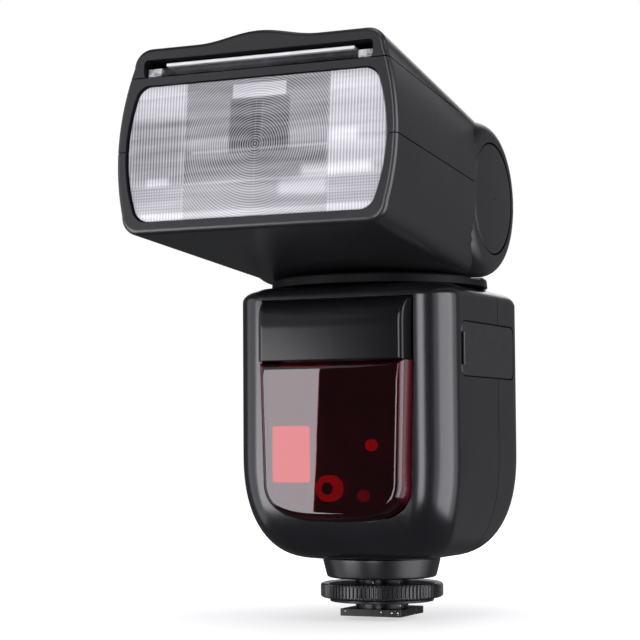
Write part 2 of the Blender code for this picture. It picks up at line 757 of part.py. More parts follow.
def make_controls(materials):
    """Display, keys, dial and power switch on the back."""
    face = BODY_REAR + GAP
    bezel = prism(
        rounded_rectangle((-BEZEL_HALF + 4.0, BEZEL_BOTTOM), (BEZEL_HALF - 4.0, BEZEL_TOP), 2.5, 4),
        "Y",
        face,
        face + BEZEL_THICK,
    )
    display = rounded_rectangle(
        (-DISPLAY_HALF - GAP, DISPLAY_BOTTOM - GAP), (DISPLAY_HALF + GAP, DISPLAY_TOP + GAP), 1.5, 3
    )
    cut(bezel, prism(display, "Y", face - 1.0, face + 3.0))
    for x in key_places():
        cut(bezel, key_block(x, GAP, face - 1.0, face + 3.0))
    finish(bezel, "control_bezel", materials["gloss_black"])

    pane = rounded_rectangle((-DISPLAY_HALF, DISPLAY_BOTTOM), (DISPLAY_HALF, DISPLAY_TOP), 1.3, 3)
    inner = BODY_REAR - WALL
    glass = prism(pane, "Y", inner + 0.4, face + BEZEL_THICK - 0.3)
    finish(glass, "display_window", materials["clear"])
    module = box(
        (-DISPLAY_HALF - 2.0, DISPLAY_HALF + 2.0),
        (inner - GAP - 3.4, inner - GAP),
        (DISPLAY_BOTTOM - 2.0, DISPLAY_TOP + 2.0),
    )
    finish(module, "display_module", materials["grey_plastic"])

    flange = (inner - GAP - 1.0, inner - GAP)
    for i, x in enumerate(key_places()):
        key = key_block(x, 0.0, flange[0] + 0.4, face + KEY_PROUD)
        add(key, key_block(x, 0.8, *flange))
        finish(key, f"function_key_{i + 1}", materials["rubber"])
    for side, name in ((-1, "test_key"), (1, "mode_key")):
        centre = (side * ROUND_KEY_X, ROUND_KEY_Z)
        low = flange[0] - 0.6
        key = turned(
            [
                (low, 0.0),
                (low, ROUND_KEY_RADIUS + 0.9),
                (low + 1.0, ROUND_KEY_RADIUS + 0.9),
                (low + 1.0, ROUND_KEY_RADIUS),
                (face + 1.0, ROUND_KEY_RADIUS),
                (face + 1.0, 0.0),
            ],
            "Y",
            centre,
            24,
        )
        finish(key, name, materials["rubber"])

    dial = turned(
        [
            (inner - GAP, DIAL_HOLE_RADIUS),
            (inner - GAP, DIAL_SLEEVE),
            (face, DIAL_SLEEVE),
            (face, DIAL_RADIUS),
            (face + DIAL_THICK - 0.6, DIAL_RADIUS),
            (face + DIAL_THICK, DIAL_RADIUS - 0.6),
            (face + DIAL_THICK, DIAL_HOLE_RADIUS),
        ],
        "Y",
        (0.0, DIAL_Z),
    )
    finish(dial, "dial", materials["black_plastic"], (0.0, BODY_REAR, DIAL_Z))
    set_key = rod("Y", (0.0, DIAL_Z), DIAL_HOLE_RADIUS - GAP, inner - GAP, face + DIAL_THICK + 0.6)
    finish(set_key, "set_key", materials["rubber"])

    knob = box(
        (SWITCH_X - SWITCH_HALF_X, SWITCH_X + SWITCH_HALF_X),
        (BODY_REAR - 6.0, BODY_REAR + 0.4),
        (SWITCH_Z - SWITCH_HALF_Z, SWITCH_Z + SWITCH_HALF_Z),
    )
    finish(knob, "power_switch", materials["black_plastic"])


# Turret


def ear_disc(radius, low, high, segments=36):
    """A cylinder about the tilt axis, in the body's frame."""
    return rod("X", (HINGE_Y, HINGE_Z), radius, low, high, segments)


def make_turret(materials):
    """Turntable with the yoke on it, the tube it turns on, its retaining ring and the shaft."""
    yoke = turned(
        [
            (TABLE_BOTTOM, 0.0),
            (TABLE_BOTTOM, TABLE_RADIUS + 0.2),
            (TABLE_TOP - 0.5, TABLE_RADIUS),
            (TABLE_TOP, TABLE_RADIUS - 0.5),
            (TABLE_TOP, 0.0),
        ],
        segments=48,
    )
    for side in (-1, 1):
        edge, far = sorted((side * (YOKE_HALF + 0.15), side * FAR))
        cut(yoke, ear_disc(EAR_RADIUS + 2 * GAP, edge, far))
    neck = box(
        (-YOKE_HALF, YOKE_HALF),
        (HINGE_Y - NECK_HALF, HINGE_Y + NECK_HALF),
        (TABLE_TOP - 1.0, HINGE_Z),
    )
    add(yoke, neck, ear_disc(BARREL_RADIUS, -YOKE_HALF, YOKE_HALF))
    tube_top = TABLE_TOP - 1.1
    cut(
        yoke,
        rod("Z", (0.0, 0.0), TUBE_RADIUS + GAP, TABLE_BOTTOM - 1.0, tube_top + GAP, 40),
        rod("Z", (0.0, HINGE_Y), NECK_HALF - 2.5, TABLE_BOTTOM - 1.0, HINGE_Z, 24),
        ear_disc(SHAFT_RADIUS + GAP, -FAR, FAR, 24),
    )
    finish(yoke, "turret_yoke", materials["black_plastic"])
    foot = BODY_TOP - WALL - 5.0
    pipe = tube("Z", (0.0, 0.0), TUBE_RADIUS, TUBE_RADIUS - TUBE_WALL, foot, tube_top)
    finish(pipe, "swivel_tube", materials["steel"])
    ring_top = BODY_TOP - WALL - GAP
    ring = tube("Z", (0.0, 0.0), TUBE_RADIUS + 4.0, TUBE_RADIUS + GAP, ring_top - 2.0, ring_top)
    finish(ring, "swivel_retainer", materials["steel"])
    reach = EAR_HALF - CAP_THICK - 1.0
    shaft = turned(
        [
            (-reach, 0.0),
            (-reach, SHAFT_RADIUS + 2.5),
            (-reach + 2.0, SHAFT_RADIUS + 2.5),
            (-reach + 2.0, SHAFT_RADIUS),
            (reach, SHAFT_RADIUS),
            (reach, 0.0),
        ],
        "X",
        (HINGE_Y, HINGE_Z),
        24,
    )
    finish(shaft, "hinge_shaft", materials["steel"], (0.0, HINGE_Y, HINGE_Z))


# Head, in its own frame


def head_half_width(y):
    """Half the head's width at mid height: it narrows evenly from the front to the hinge."""
    share = (y + HEAD_LENGTH) / HEAD_LENGTH
    return HEAD_HALF_FRONT + (HEAD_HALF_REAR - HEAD_HALF_FRONT) * share


def head_top(y):
    """Height of the head's top, which falls evenly towards the hinge."""
    return HEAD_TOP_FRONT - TOP_SLOPE * (y + HEAD_LENGTH)


def hump(x, y):
    """The low thumb hump on the middle of the top's front edge."""
    fade = min(max(1 - (y + HEAD_LENGTH) / HUMP_LENGTH, 0.0), 1.0)
    if abs(x) >= HUMP_HALF:
        return 0.0
    return HUMP_HEIGHT * math.cos(math.pi * x / (2 * HUMP_HALF)) ** 2 * fade**2 * (3 - 2 * fade)


def head_ring(y, inset=0.0, wall=0.0):
    """The head's outline across the beam at a station.

    The sides bow out by the square of the height, and round corners join them to the flat
    bottom and the top.
    """
    draw_in = inset + wall
    half = head_half_width(y) - draw_in
    top, bottom = head_top(y) - draw_in, HEAD_BOTTOM + draw_in
    corner = HEAD_CORNER - wall

    def side(z):
        return half - HEAD_SIDE_BULGE * (z / HEAD_BOTTOM) ** 2

    right = []
    for i in range(1, 3):
        angle = math.radians(-90 + 90 * i / 3)
        x = side(bottom + corner) - corner + corner * math.cos(angle)
        right.append((x, bottom + corner + corner * math.sin(angle)))
    for i in range(7):
        z = bottom + corner + (top - bottom - 2 * corner) * i / 6
        right.append((side(z), z))
    for i in range(1, 3):
        angle = math.radians(90 * i / 3)
        x = side(top - corner) - corner + corner * math.cos(angle)
        right.append((x, top - corner + corner * math.sin(angle)))
    edge = side(top - corner) - corner
    base = side(bottom + corner) - corner
    outline = [(base, bottom)] + right
    for i in range(11):
        x = edge * (1 - i / 5)
        rise = 0.0 if wall else hump(x, y)
        outline.append((x, top + rise))
    outline += [(-x, z) for x, z in reversed(right)]
    outline.append((-base, bottom))
    return [(x, y, z) for x, z in outline]


def tilt_disc(radius, low, high, segments=36):
    """A cylinder about the tilt axis, in the head's frame."""
    return rod("X", (0.0, 0.0), radius, low, high, segments)


def make_head_form():
    """The head's whole casing before it is parted into its three mouldings."""
    stations = [(-HEAD_LENGTH, 0.6), (-HEAD_LENGTH + 0.7, 0.0)]
    stations += [(-HEAD_LENGTH + HUMP_LENGTH * i / 3, 0.0) for i in range(1, 4)]
    stations += [(-2.0, 0.0)]
    form = loft([head_ring(y, inset) for y, inset in stations])
    steps = 3
    right = []
    for i in range(steps + 1):
        angle = math.pi / 2 * i / steps
        x = EAR_HALF - EAR_ROUND * (1 - math.cos(angle))
        right.append((x, EAR_RADIUS - EAR_ROUND * (1 - math.sin(angle))))
    left = [(-x, radius) for x, radius in right]
    profile = [(-EAR_HALF, 0.0), *left, *reversed(right), (EAR_HALF, 0.0)]
    add(form, turned(profile, "X", segments=40))

    rim_y = -HEAD_LENGTH + RIM_DEPTH
    cut(form, loft([head_ring(y, 0.0, WALL) for y in (rim_y, CAVITY_REAR_Y)]))
    cut(form, prism(lens_outline(GAP), "Y", -HEAD_LENGTH - 5.0, rim_y + 0.1))
    slot = rounded_rectangle((-SLOT_HALF, SLOT_BOTTOM), (SLOT_HALF, SLOT_TOP), 0.8, 3)
    cut(form, prism(slot, "Y", -HEAD_LENGTH - 5.0, rim_y + 0.1))

    # Room for the yoke: its barrel, and the neck as the head swings up past it.
    cut(form, tilt_disc(BARREL_RADIUS + GAP, -EAR_INNER, EAR_INNER))
    margin = 4.0
    neck_angle = math.degrees(math.atan2(NECK_HALF, BARREL_RADIUS - 2.0))
    start = -90 - neck_angle + HEAD_TILT - margin
    end = -90 + neck_angle + HEAD_TILT + TILT_RANGE + margin
    reach = EAR_RADIUS + 8.0
    wedge = [(0.0, 0.0)]
    for i in range(9):
        angle = math.radians(start + (end - start) * i / 8)
        wedge.append((reach * math.cos(angle), reach * math.sin(angle)))
    cut(form, prism(wedge, "X", -EAR_INNER, EAR_INNER))

    # Each ear: a recess for the cap, a pocket behind it and a hole for the shaft.
    recess, pocket, bore = CAP_RADIUS + GAP, CAP_RADIUS - 3.0, SHAFT_RADIUS + GAP
    recess_x = EAR_HALF - CAP_THICK - GAP
    pocket_x = EAR_INNER + 3.4
    for side in (-1, 1):
        steps = [
            (0.0, 0.0),
            (0.0, bore),
            (pocket_x, bore),
            (pocket_x, pocket),
            (recess_x, pocket),
            (recess_x, recess),
            (FAR, recess),
            (FAR, 0.0),
        ]
        cut(form, turned([(side * x, radius) for x, radius in steps], "X", segments=36))
    return form


def lens_outline(grow=0.0):
    """The lens's outline in X and Z: straight top and bottom, bowed sides, small corners."""
    top, bottom = LENS_TOP + grow, LENS_BOTTOM - grow
    corner = LENS_CORNER
    outline = []

    def side(z):
        return LENS_HALF + grow - LENS_BULGE * (z / LENS_TOP) ** 2

    for i in range(1, 3):
        angle = math.radians(-90 + 90 * i / 3)
        x = side(bottom + corner) - corner + corner * math.cos(angle)
        outline.append((x, bottom + corner + corner * math.sin(angle)))
    for i in range(7):
        z = bottom + corner + (top - bottom - 2 * corner) * i / 6
        outline.append((side(z), z))
    for i in range(1, 3):
        angle = math.radians(90 * i / 3)
        x = side(top - corner) - corner + corner * math.cos(angle)
        outline.append((x, top - corner + corner * math.sin(angle)))
    foot = (side(bottom + corner) - corner, bottom)
    crest = (side(top - corner) - corner, top)
    right = [foot] + outline + [crest]
    return right + [(-x, z) for x, z in reversed(right)]


def seam_wedge(offset, above):
    """The half-space above or below the mid seam, which rises a little towards the hinge."""
    rise = (MID_SEAM_REAR_Z - MID_SEAM_FRONT_Z) / (HEAD_LENGTH - CAP_RADIUS)
    low = MID_SEAM_FRONT_Z + offset + rise * (HEAD_LENGTH - FAR)
    high = MID_SEAM_FRONT_Z + offset + rise * (HEAD_LENGTH + FAR)
    end = FAR if above else -FAR
    return prism([(-FAR, low), (FAR, high), (FAR, end), (-FAR, end)], "X", -FAR, FAR)


def make_head_shells(materials, pivot):
    """Lower shell, upper shell and top cover, parted from one form at their seams."""
    form = make_head_form()
    half = GAP / 2
    lower = cut(copy_of(form), seam_wedge(-half, True))
    screws = [(-22.0, -40.0), (22.0, -40.0)]
    for i, centre in enumerate(screws):
        under = HEAD_BOTTOM - 1.0
        cut(lower, rod("Z", centre, SCREW_SHANK + GAP, under, HEAD_BOTTOM + WALL + 1.0, 16))
        cut(lower, rod("Z", centre, SCREW_HEAD + GAP, under, HEAD_BOTTOM + 1.0, 16))
        screw = turned(
            [
                (HEAD_BOTTOM + 0.1, 0.0),
                (HEAD_BOTTOM + 0.1, SCREW_HEAD),
                (HEAD_BOTTOM + 0.8, SCREW_HEAD),
                (HEAD_BOTTOM + 0.8, SCREW_SHANK),
                (HEAD_BOTTOM + 4.0, SCREW_SHANK),
                (HEAD_BOTTOM + 4.0, 0.0),
            ],
            "Z",
            centre,
            16,
        )
        finish(screw, f"head_screw_{i + 1}", materials["steel"], parent=pivot)
    finish(lower, "head_lower_shell", materials["black_plastic"], parent=pivot)

    front = (-FAR, COVER_SEAM_END_Y)
    upper = cut(
        copy_of(form),
        seam_wedge(half, False),
        box((-FAR, FAR), (front[0], front[1] + half), (COVER_SEAM_Z - half, FAR)),
    )
    finish(upper, "head_upper_shell", materials["black_plastic"], parent=pivot)
    cover = cut(
        form,
        box((-FAR, FAR), (-FAR, FAR), (-FAR, COVER_SEAM_Z + half)),
        box((-FAR, FAR), (front[1] - half, FAR), (-FAR, FAR)),
    )
    finish(cover, "head_top_cover", materials["black_plastic"], parent=pivot)


def inclined(y0, y1, z0, z1):
    """A side outline from y0 to y1 that runs parallel to the head's top; heights are at the front."""
    fall0, fall1 = TOP_SLOPE * (y0 + HEAD_LENGTH), TOP_SLOPE * (y1 + HEAD_LENGTH)
    return [(y0, z0 - fall0), (y1, z0 - fall1), (y1, z1 - fall1), (y0, z1 - fall0)]


def make_head_top_parts(materials, pivot):
    """Tray, clear wide panel and white bounce card under the top cover."""
    rear = -HEAD_LENGTH + RIM_DEPTH + GAP
    tray = prism(inclined(rear, -29.0, 17.5, 19.4), "X", -31.0, 31.0)
    finish(tray, "panel_tray", materials["black_plastic"], parent=pivot)
    front = -HEAD_LENGTH + 1.6
    low = SLOT_BOTTOM + 0.8
    panel = prism(
        inclined(front, front + WIDE_PANEL_LENGTH, low, low + WIDE_PANEL_THICK),
        "X",
        -WIDE_PANEL_HALF,
        WIDE_PANEL_HALF,
    )
    lip_outline = inclined(front - 0.1, front + 1.2, low - 0.1, low + PANEL_LIP_HEIGHT)
    add(panel, prism(lip_outline, "X", -WIDE_PANEL_HALF - 0.1, WIDE_PANEL_HALF + 0.1))
    finish(panel, "wide_panel", materials["clear"], parent=pivot)
    low = low + PANEL_LIP_HEIGHT + 0.5
    card_outline = inclined(front, front + CARD_LENGTH, low, low + CARD_THICK)
    card = prism(card_outline, "X", -CARD_HALF, CARD_HALF)
    finish(card, "bounce_card", materials["white"], parent=pivot)


def make_head_optics(materials, pivot):
    """Lens, reflector, flash tube and the zoom drive behind it."""
    front = -HEAD_LENGTH + LENS_INSET
    lens = prism(lens_outline(), "Y", front, front + LENS_THICK)
    finish(lens, "fresnel_lens", materials["clear"], parent=pivot)

    middle = (LENS_TOP + LENS_BOTTOM) / 2
    mouth = CARRIAGE_FRONT_Y + 1.0
    steps = 8
    outside, inside = [], []
    for i in range(steps + 1):
        across = -1 + 2 * i / steps
        depth = REFLECTOR_DEPTH * (1 - across**2)
        outside.append((mouth + depth, middle + REFLECTOR_MOUTH * across))
        thin = REFLECTOR_WALL
        inner_depth = (REFLECTOR_DEPTH - thin) * (1 - across**2)
        inside.append((mouth + inner_depth, middle + (REFLECTOR_MOUTH - thin) * across))
    outline = outside + list(reversed(inside))
    reflector = prism(outline, "X", -REFLECTOR_HALF, REFLECTOR_HALF)
    finish(reflector, "reflector", materials["mirror"], parent=pivot)
    focus = mouth + REFLECTOR_DEPTH - TUBE_LAMP_RADIUS - 2.0
    lamp = rod("X", (focus, middle), TUBE_LAMP_RADIUS, -REFLECTOR_HALF, REFLECTOR_HALF, 20)
    finish(lamp, "flash_tube", materials["clear"], parent=pivot)

    outer = REFLECTOR_HALF + GAP + CARRIAGE_WALL
    y = (CARRIAGE_FRONT_Y, CARRIAGE_FRONT_Y + CARRIAGE_LENGTH)
    half = REFLECTOR_MOUTH + GAP
    carriage = box((-outer, outer), y, (middle - half - CARRIAGE_WALL, middle + half))
    cut(carriage, box((-outer + CARRIAGE_WALL, outer - CARRIAGE_WALL), (-FAR, FAR), (middle - half, FAR)))
    lug = box(
        (outer - 0.5, SCREW_ROD_X + 3.0),
        (y[0] + 5.0, y[1] - 4.0),
        (SCREW_ROD_Z - 3.0, SCREW_ROD_Z + 3.0),
    )
    add(carriage, lug)
    cut(carriage, rod("Y", (SCREW_ROD_X, SCREW_ROD_Z), SCREW_ROD_RADIUS + GAP, -FAR, FAR, 20))
    finish(carriage, "zoom_carriage", materials["grey_plastic"], parent=pivot)
    motor_front = CAVITY_REAR_Y - GAP - MOTOR_LENGTH
    front = -HEAD_LENGTH + RIM_DEPTH + 1.0
    centre = (SCREW_ROD_X, SCREW_ROD_Z)
    screw = rod("Y", centre, SCREW_ROD_RADIUS, front, motor_front - GAP, 20)
    finish(screw, "zoom_screw", materials["steel"], (SCREW_ROD_X, front, SCREW_ROD_Z), pivot)
    motor = rod("Y", centre, MOTOR_RADIUS, motor_front, motor_front + MOTOR_LENGTH, 24)
    finish(motor, "zoom_motor", materials["steel"], parent=pivot)


def make_hinge_caps(materials, pivot):
    """Hinge caps on the ears' outer faces."""
    inner = EAR_HALF - CAP_THICK
    for side, word in ((-1, "left"), (1, "right")):
        profile = [
            (inner, 0.0),
            (inner, CAP_RADIUS),
            (EAR_HALF - 0.4, CAP_RADIUS),
            (EAR_HALF + 0.1, CAP_RADIUS - 0.8),
            (EAR_HALF + 0.5, CAP_RADIUS * 0.5),
            (EAR_HALF + 0.6, 0.0),
        ]
        cap = turned([(side * x, r) for x, r in profile], "X", segments=36)
        finish(cap, f"hinge_cap_{word}", materials["black_plastic"], parent=pivot)


def main():
    """Clear the scene and make every piece."""
    clear_scene()
    materials = {
        "black_plastic": make_material("black_plastic", (0.035, 0.035, 0.037), 0.45),
        "gloss_black": make_material("gloss_black", (0.02, 0.02, 0.022), 0.12),
        "rubber": make_material("rubber", (0.03, 0.03, 0.032), 0.6),
        "red_clear": make_material("red_clear", (0.25, 0.01, 0.02), 0.08),
        "red_lamp": make_material("red_lamp", (0.8, 0.04, 0.05), 0.3),
        "clear": make_material("clear", (0.85, 0.86, 0.88), 0.1),
        "white": make_material("white", (0.9, 0.9, 0.9), 0.5),
        "grey_plastic": make_material("grey_plastic", (0.3, 0.3, 0.31), 0.5),
        "mirror": make_material("mirror", (0.85, 0.85, 0.87), 0.1, 1.0),
        "steel": make_material("steel", (0.55, 0.55, 0.56), 0.35, 1.0),
        "black_metal": make_material("black_metal", (0.05, 0.05, 0.052), 0.4, 0.6),
        "gold": make_material("gold", (0.85, 0.62, 0.25), 0.3, 1.0),
        "board_green": make_material("board_green", (0.03, 0.16, 0.07), 0.5),
    }
    pivot = bpy.data.objects.new("head_pivot", None)
    pivot.location = Vector((0.0, HINGE_Y, HINGE_Z)) * MM
    pivot.rotation_euler.x = -math.radians(HEAD_TILT)
    bpy.context.scene.collection.objects.link(pivot)

    make_foot(materials)
    make_lock(materials)
    make_collar(materials)
    make_shells(materials)
    make_window(materials)
    make_front_panel(materials)
    make_body_details(materials)
    make_controls(materials)
    make_turret(materials)
    make_head_shells(materials, pivot)
    make_head_top_parts(materials, pivot)
    make_head_optics(materials, pivot)
    make_hinge_caps(materials, pivot)


main()
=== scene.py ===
import math

import bmesh
import bpy
import numpy as np
from mathutils import Matrix, Quaternion, Vector


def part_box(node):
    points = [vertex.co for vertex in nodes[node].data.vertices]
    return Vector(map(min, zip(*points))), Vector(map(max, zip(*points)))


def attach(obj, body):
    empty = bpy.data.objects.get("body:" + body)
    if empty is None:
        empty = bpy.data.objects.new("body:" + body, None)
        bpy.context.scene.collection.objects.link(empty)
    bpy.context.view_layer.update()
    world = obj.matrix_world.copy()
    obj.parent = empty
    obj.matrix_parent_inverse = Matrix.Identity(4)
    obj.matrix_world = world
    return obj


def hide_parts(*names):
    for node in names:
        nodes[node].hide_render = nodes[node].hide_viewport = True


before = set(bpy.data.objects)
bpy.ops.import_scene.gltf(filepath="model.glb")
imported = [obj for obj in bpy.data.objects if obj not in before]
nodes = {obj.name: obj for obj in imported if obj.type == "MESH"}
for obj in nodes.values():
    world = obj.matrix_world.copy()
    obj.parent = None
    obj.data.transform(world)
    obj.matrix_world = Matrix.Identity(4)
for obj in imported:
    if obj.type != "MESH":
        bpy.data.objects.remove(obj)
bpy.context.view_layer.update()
MM = 0.001

# ----------------------------------------
# Camera, floor and studio light. The camera stands low and to the right and looks a little up.
# Two soft boxes and a narrow front one give the long highlights on the black mouldings.

CAMERA_TURN = math.radians(24.5)
CAMERA_RISE = math.radians(3.6)
CAMERA_ROLL = math.radians(-0.37)
CAMERA_PLACE = Vector((220.26, -524.79, 48.34)) * MM
CAMERA_LENS = 111.4

forward = Vector(
    (
        -math.sin(CAMERA_TURN) * math.cos(CAMERA_RISE),
        math.cos(CAMERA_TURN) * math.cos(CAMERA_RISE),
        math.sin(CAMERA_RISE),
    )
)
level = Vector((math.cos(CAMERA_TURN), math.sin(CAMERA_TURN), 0.0))
upright = level.cross(forward)
right = level * math.cos(CAMERA_ROLL) + upright * math.sin(CAMERA_ROLL)
up = upright * math.cos(CAMERA_ROLL) - level * math.sin(CAMERA_ROLL)
camera_data = bpy.data.cameras.new("camera")
camera_data.lens = CAMERA_LENS
camera_data.sensor_width = 36.0
camera_data.clip_start = 0.01
camera = bpy.data.objects.new("camera", camera_data)
camera.matrix_world = Matrix.Translation(CAMERA_PLACE) @ Matrix((right, up, -forward)).transposed().to_4x4()
bpy.context.scene.collection.objects.link(camera)
bpy.context.scene.camera = camera
bpy.context.scene.view_settings.view_transform = "Standard"


LIGHT_CENTRE = Vector((0.0, 0.0, 80.0)) * MM
LIGHT_TINT = (1.0, 0.985, 1.045)


def light_panel(name, turn, rise, width, height, radiance, roll=0.0, distance=0.8):
    """A soft box: an area light at a turn and rise round the object, in degrees, facing it."""
    data = bpy.data.lights.new(name, "AREA")
    data.shape = "RECTANGLE"
    data.size = width
    data.size_y = height
    data.energy = radiance * width * height * math.pi
    data.color = LIGHT_TINT
    turn, rise = math.radians(turn), math.radians(rise)
    way = Vector((math.sin(turn) * math.cos(rise), -math.cos(turn) * math.cos(rise), math.sin(rise)))
    panel = bpy.data.objects.new(name, data)
    panel.location = LIGHT_CENTRE + way * distance
    lean = Quaternion((0.0, 0.0, 1.0), math.radians(roll))
    panel.rotation_euler = (way.to_track_quat("Z", "Y") @ lean).to_euler()
    panel.visible_camera = False
    bpy.context.scene.collection.objects.link(panel)


for row in (
    ("left_box", -39.55, -13.0, 0.422, 0.50, 7.3, -6.1),
    ("left_upper", -38.0, 20.0, 0.422, 0.46, 0.9),
    ("left_glow", -73.5, -4.0, 0.535, 1.00, 1.2),
    ("front_strip", 6.0, 2.0, 0.25, 0.95, 6.5),
    ("right_box", 86.0, -3.0, 0.746, 1.10, 3.3),
    ("right_glow", 87.5, -3.0, 1.466, 1.20, 1.3),
    ("side_glow", 162.0, 5.0, 0.60, 0.90, 0.1),
    ("back_box", 198.0, 24.0, 0.50, 0.50, 1.8),
    ("top_box", 20.0, 78.0, 0.50, 0.50, 3.0),
):
    light_panel(*row)

world = bpy.data.worlds.new("studio")
world.use_nodes = True
bpy.context.scene.world = world
tree = world.node_tree
tree.nodes.clear()
seen = tree.nodes.new("ShaderNodeLightPath")
wall = tree.nodes.new("ShaderNodeBackground")
wall.inputs["Color"].default_value = (1.0, 1.0, 1.0, 1.0)
wall.inputs["Strength"].default_value = 1.0
fill = tree.nodes.new("ShaderNodeBackground")
fill.inputs["Color"].default_value = (0.9, 0.93, 1.0, 1.0)
fill.inputs["Strength"].default_value = 0.08
blend = tree.nodes.new("ShaderNodeMixShader")
tree.links.new(seen.outputs["Is Camera Ray"], blend.inputs[0])
tree.links.new(fill.outputs[0], blend.inputs[1])
tree.links.new(wall.outputs[0], blend.inputs[2])
tree.links.new(blend.outputs[0], tree.nodes.new("ShaderNodeOutputWorld").inputs[0])


class Recipe:
    """A material's node graph, built a node at a time."""

    def __init__(self, name):
        self.material = bpy.data.materials.new(name)
        self.material.use_nodes = True
        self.tree = self.material.node_tree
        self.shader = self.tree.nodes["Principled BSDF"]
        self.output = self.tree.nodes["Material Output"]
        self.place = self.new("TexCoord").outputs["Object"]

    def new(self, kind):
        """A shader node of that kind."""
        return self.tree.nodes.new("ShaderNode" + kind)

    def feed(self, socket, value):
        """Link an output, or set a plain number, colour or vector."""
        if isinstance(value, bpy.types.NodeSocket):
            self.tree.links.new(value, socket)
        elif isinstance(value, (tuple, list)) and len(value) == 3 and len(socket.default_value) == 4:
            socket.default_value = (*value, 1.0)
        else:
            socket.default_value = value

    def math(self, operation, a, b=0.0, c=0.0):
        """One arithmetic node."""
        node = self.new("Math")
        node.operation = operation
        for socket, value in zip(node.inputs, (a, b, c)):
            self.feed(socket, value)
        return node.outputs[0]

    def times(self, a, b):
        return self.math("MULTIPLY", a, b)

    def plus(self, a, b):
        return self.math("ADD", a, b)

    def apart(self, source):
        """The X, Y and Z of a vector."""
        node = self.new("SeparateXYZ")
        self.feed(node.inputs[0], source)
        return node.outputs

    def length(self, source):
        """The length of a vector."""
        node = self.new("VectorMath")
        node.operation = "LENGTH"
        self.feed(node.inputs[0], source)
        return node.outputs["Value"]

    def noise(self, scale, detail=2.0, stretch=None, roughness=0.5, source=None):
        """Noise in object space, or over a source; stretch scales the three directions."""
        node = self.new("TexNoise")
        node.inputs["Scale"].default_value = scale
        node.inputs["Detail"].default_value = detail
        node.inputs["Roughness"].default_value = roughness
        source = source or self.place
        if stretch:
            mapping = self.new("Mapping")
            mapping.inputs["Scale"].default_value = stretch
            self.feed(mapping.inputs["Vector"], source)
            source = mapping.outputs[0]
        self.feed(node.inputs["Vector"], source)
        return node.outputs["Fac"]

    def span(self, value, low, high, to_low, to_high):
        """Carry a value from one range to another, held at the ends."""
        node = self.new("MapRange")
        for socket, number in zip(node.inputs, (value, low, high, to_low, to_high)):
            self.feed(socket, number)
        return node.outputs[0]

    def mix(self, factor, a, b):
        """Blend two colours."""
        node = self.new("Mix")
        node.data_type = "RGBA"
        self.feed(node.inputs[0], factor)
        self.feed(node.inputs[6], a)
        self.feed(node.inputs[7], b)
        return node.outputs[2]

    def two_tone(self, scale, low, high, a, b, detail=2.0):
        """Noise that blends two colours, between two of its levels."""
        return self.mix(self.span(self.noise(scale, detail), low, high, 0.0, 1.0), a, b)

    def facing(self, blend, low, high):
        """A share that grows from face on to edge on."""
        node = self.new("LayerWeight")
        node.inputs["Blend"].default_value = blend
        return self.span(node.outputs["Facing"], 0.0, 1.0, low, high)

    def veil(self, share, tint=(1.0, 1.0, 1.0)):
        """Make the surface see-through but for that share of it."""
        clear = self.new("BsdfTransparent")
        self.feed(clear.inputs["Color"], tint)
        blend = self.new("MixShader")
        for socket, value in zip(blend.inputs, (share, clear.outputs[0], self.shader.outputs[0])):
            self.feed(socket, value)
        self.feed(self.output.inputs["Surface"], blend.outputs[0])

    def bump(self, height, depth, strength=1.0):
        """Raise the surface by a height pattern of that depth in metres."""
        node = self.new("Bump")
        node.inputs["Distance"].default_value = depth
        node.inputs["Strength"].default_value = strength
        self.feed(node.inputs["Height"], height)
        self.feed(self.shader.inputs["Normal"], node.outputs[0])

    def set(self, **values):
        """Feed the shader's sockets by name, with _ for a space."""
        for name, value in values.items():
            self.feed(self.shader.inputs[name.replace("_", " ")], value)
        return self


def pale_floor():
    """A pale floor with a painted shadow: its glow dims near the foot; lights below it still reach the
    object.
    """
    recipe = Recipe("pale_floor")
    pale = recipe.new("Emission")
    # painted shadow: the glow is a little over half at the foot and full from 16 cm out
    recipe.feed(pale.inputs["Strength"], recipe.span(recipe.length(recipe.place), 0.01, 0.16, 0.55, 1.0))
    matt = recipe.new("BsdfDiffuse")
    recipe.feed(matt.inputs["Color"], recipe.mix(recipe.noise(9.0), (0.45, 0.45, 0.45), (0.55, 0.55, 0.55)))
    plain = recipe.new("AddShader")
    recipe.feed(plain.inputs[0], pale.outputs[0])
    recipe.feed(plain.inputs[1], matt.outputs[0])
    to_camera = recipe.new("LightPath").outputs["Is Camera Ray"]
    clear = recipe.new("BsdfTransparent").outputs[0]
    blend = recipe.new("MixShader")
    for socket, value in zip(blend.inputs, (to_camera, clear, plain.outputs[0])):
        recipe.feed(socket, value)
    recipe.feed(recipe.output.inputs["Surface"], blend.outputs[0])
    recipe.tree.nodes.remove(recipe.shader)
    return recipe.material


FLOOR_Z = -1.2
FLOOR_REACH = 4000.0
floor_corners = [(x * FLOOR_REACH, y * FLOOR_REACH, FLOOR_Z) for x, y in ((-1, -1), (1, -1), (1, 1), (-1, 1))]
floor_mesh = bpy.data.meshes.new("floor")
floor_mesh.from_pydata([Vector(corner) * MM for corner in floor_corners], [], [(0, 1, 2, 3)])
floor_mesh.materials.append(pale_floor())
floor = bpy.data.objects.new("floor", floor_mesh)
bpy.context.scene.collection.objects.link(floor)
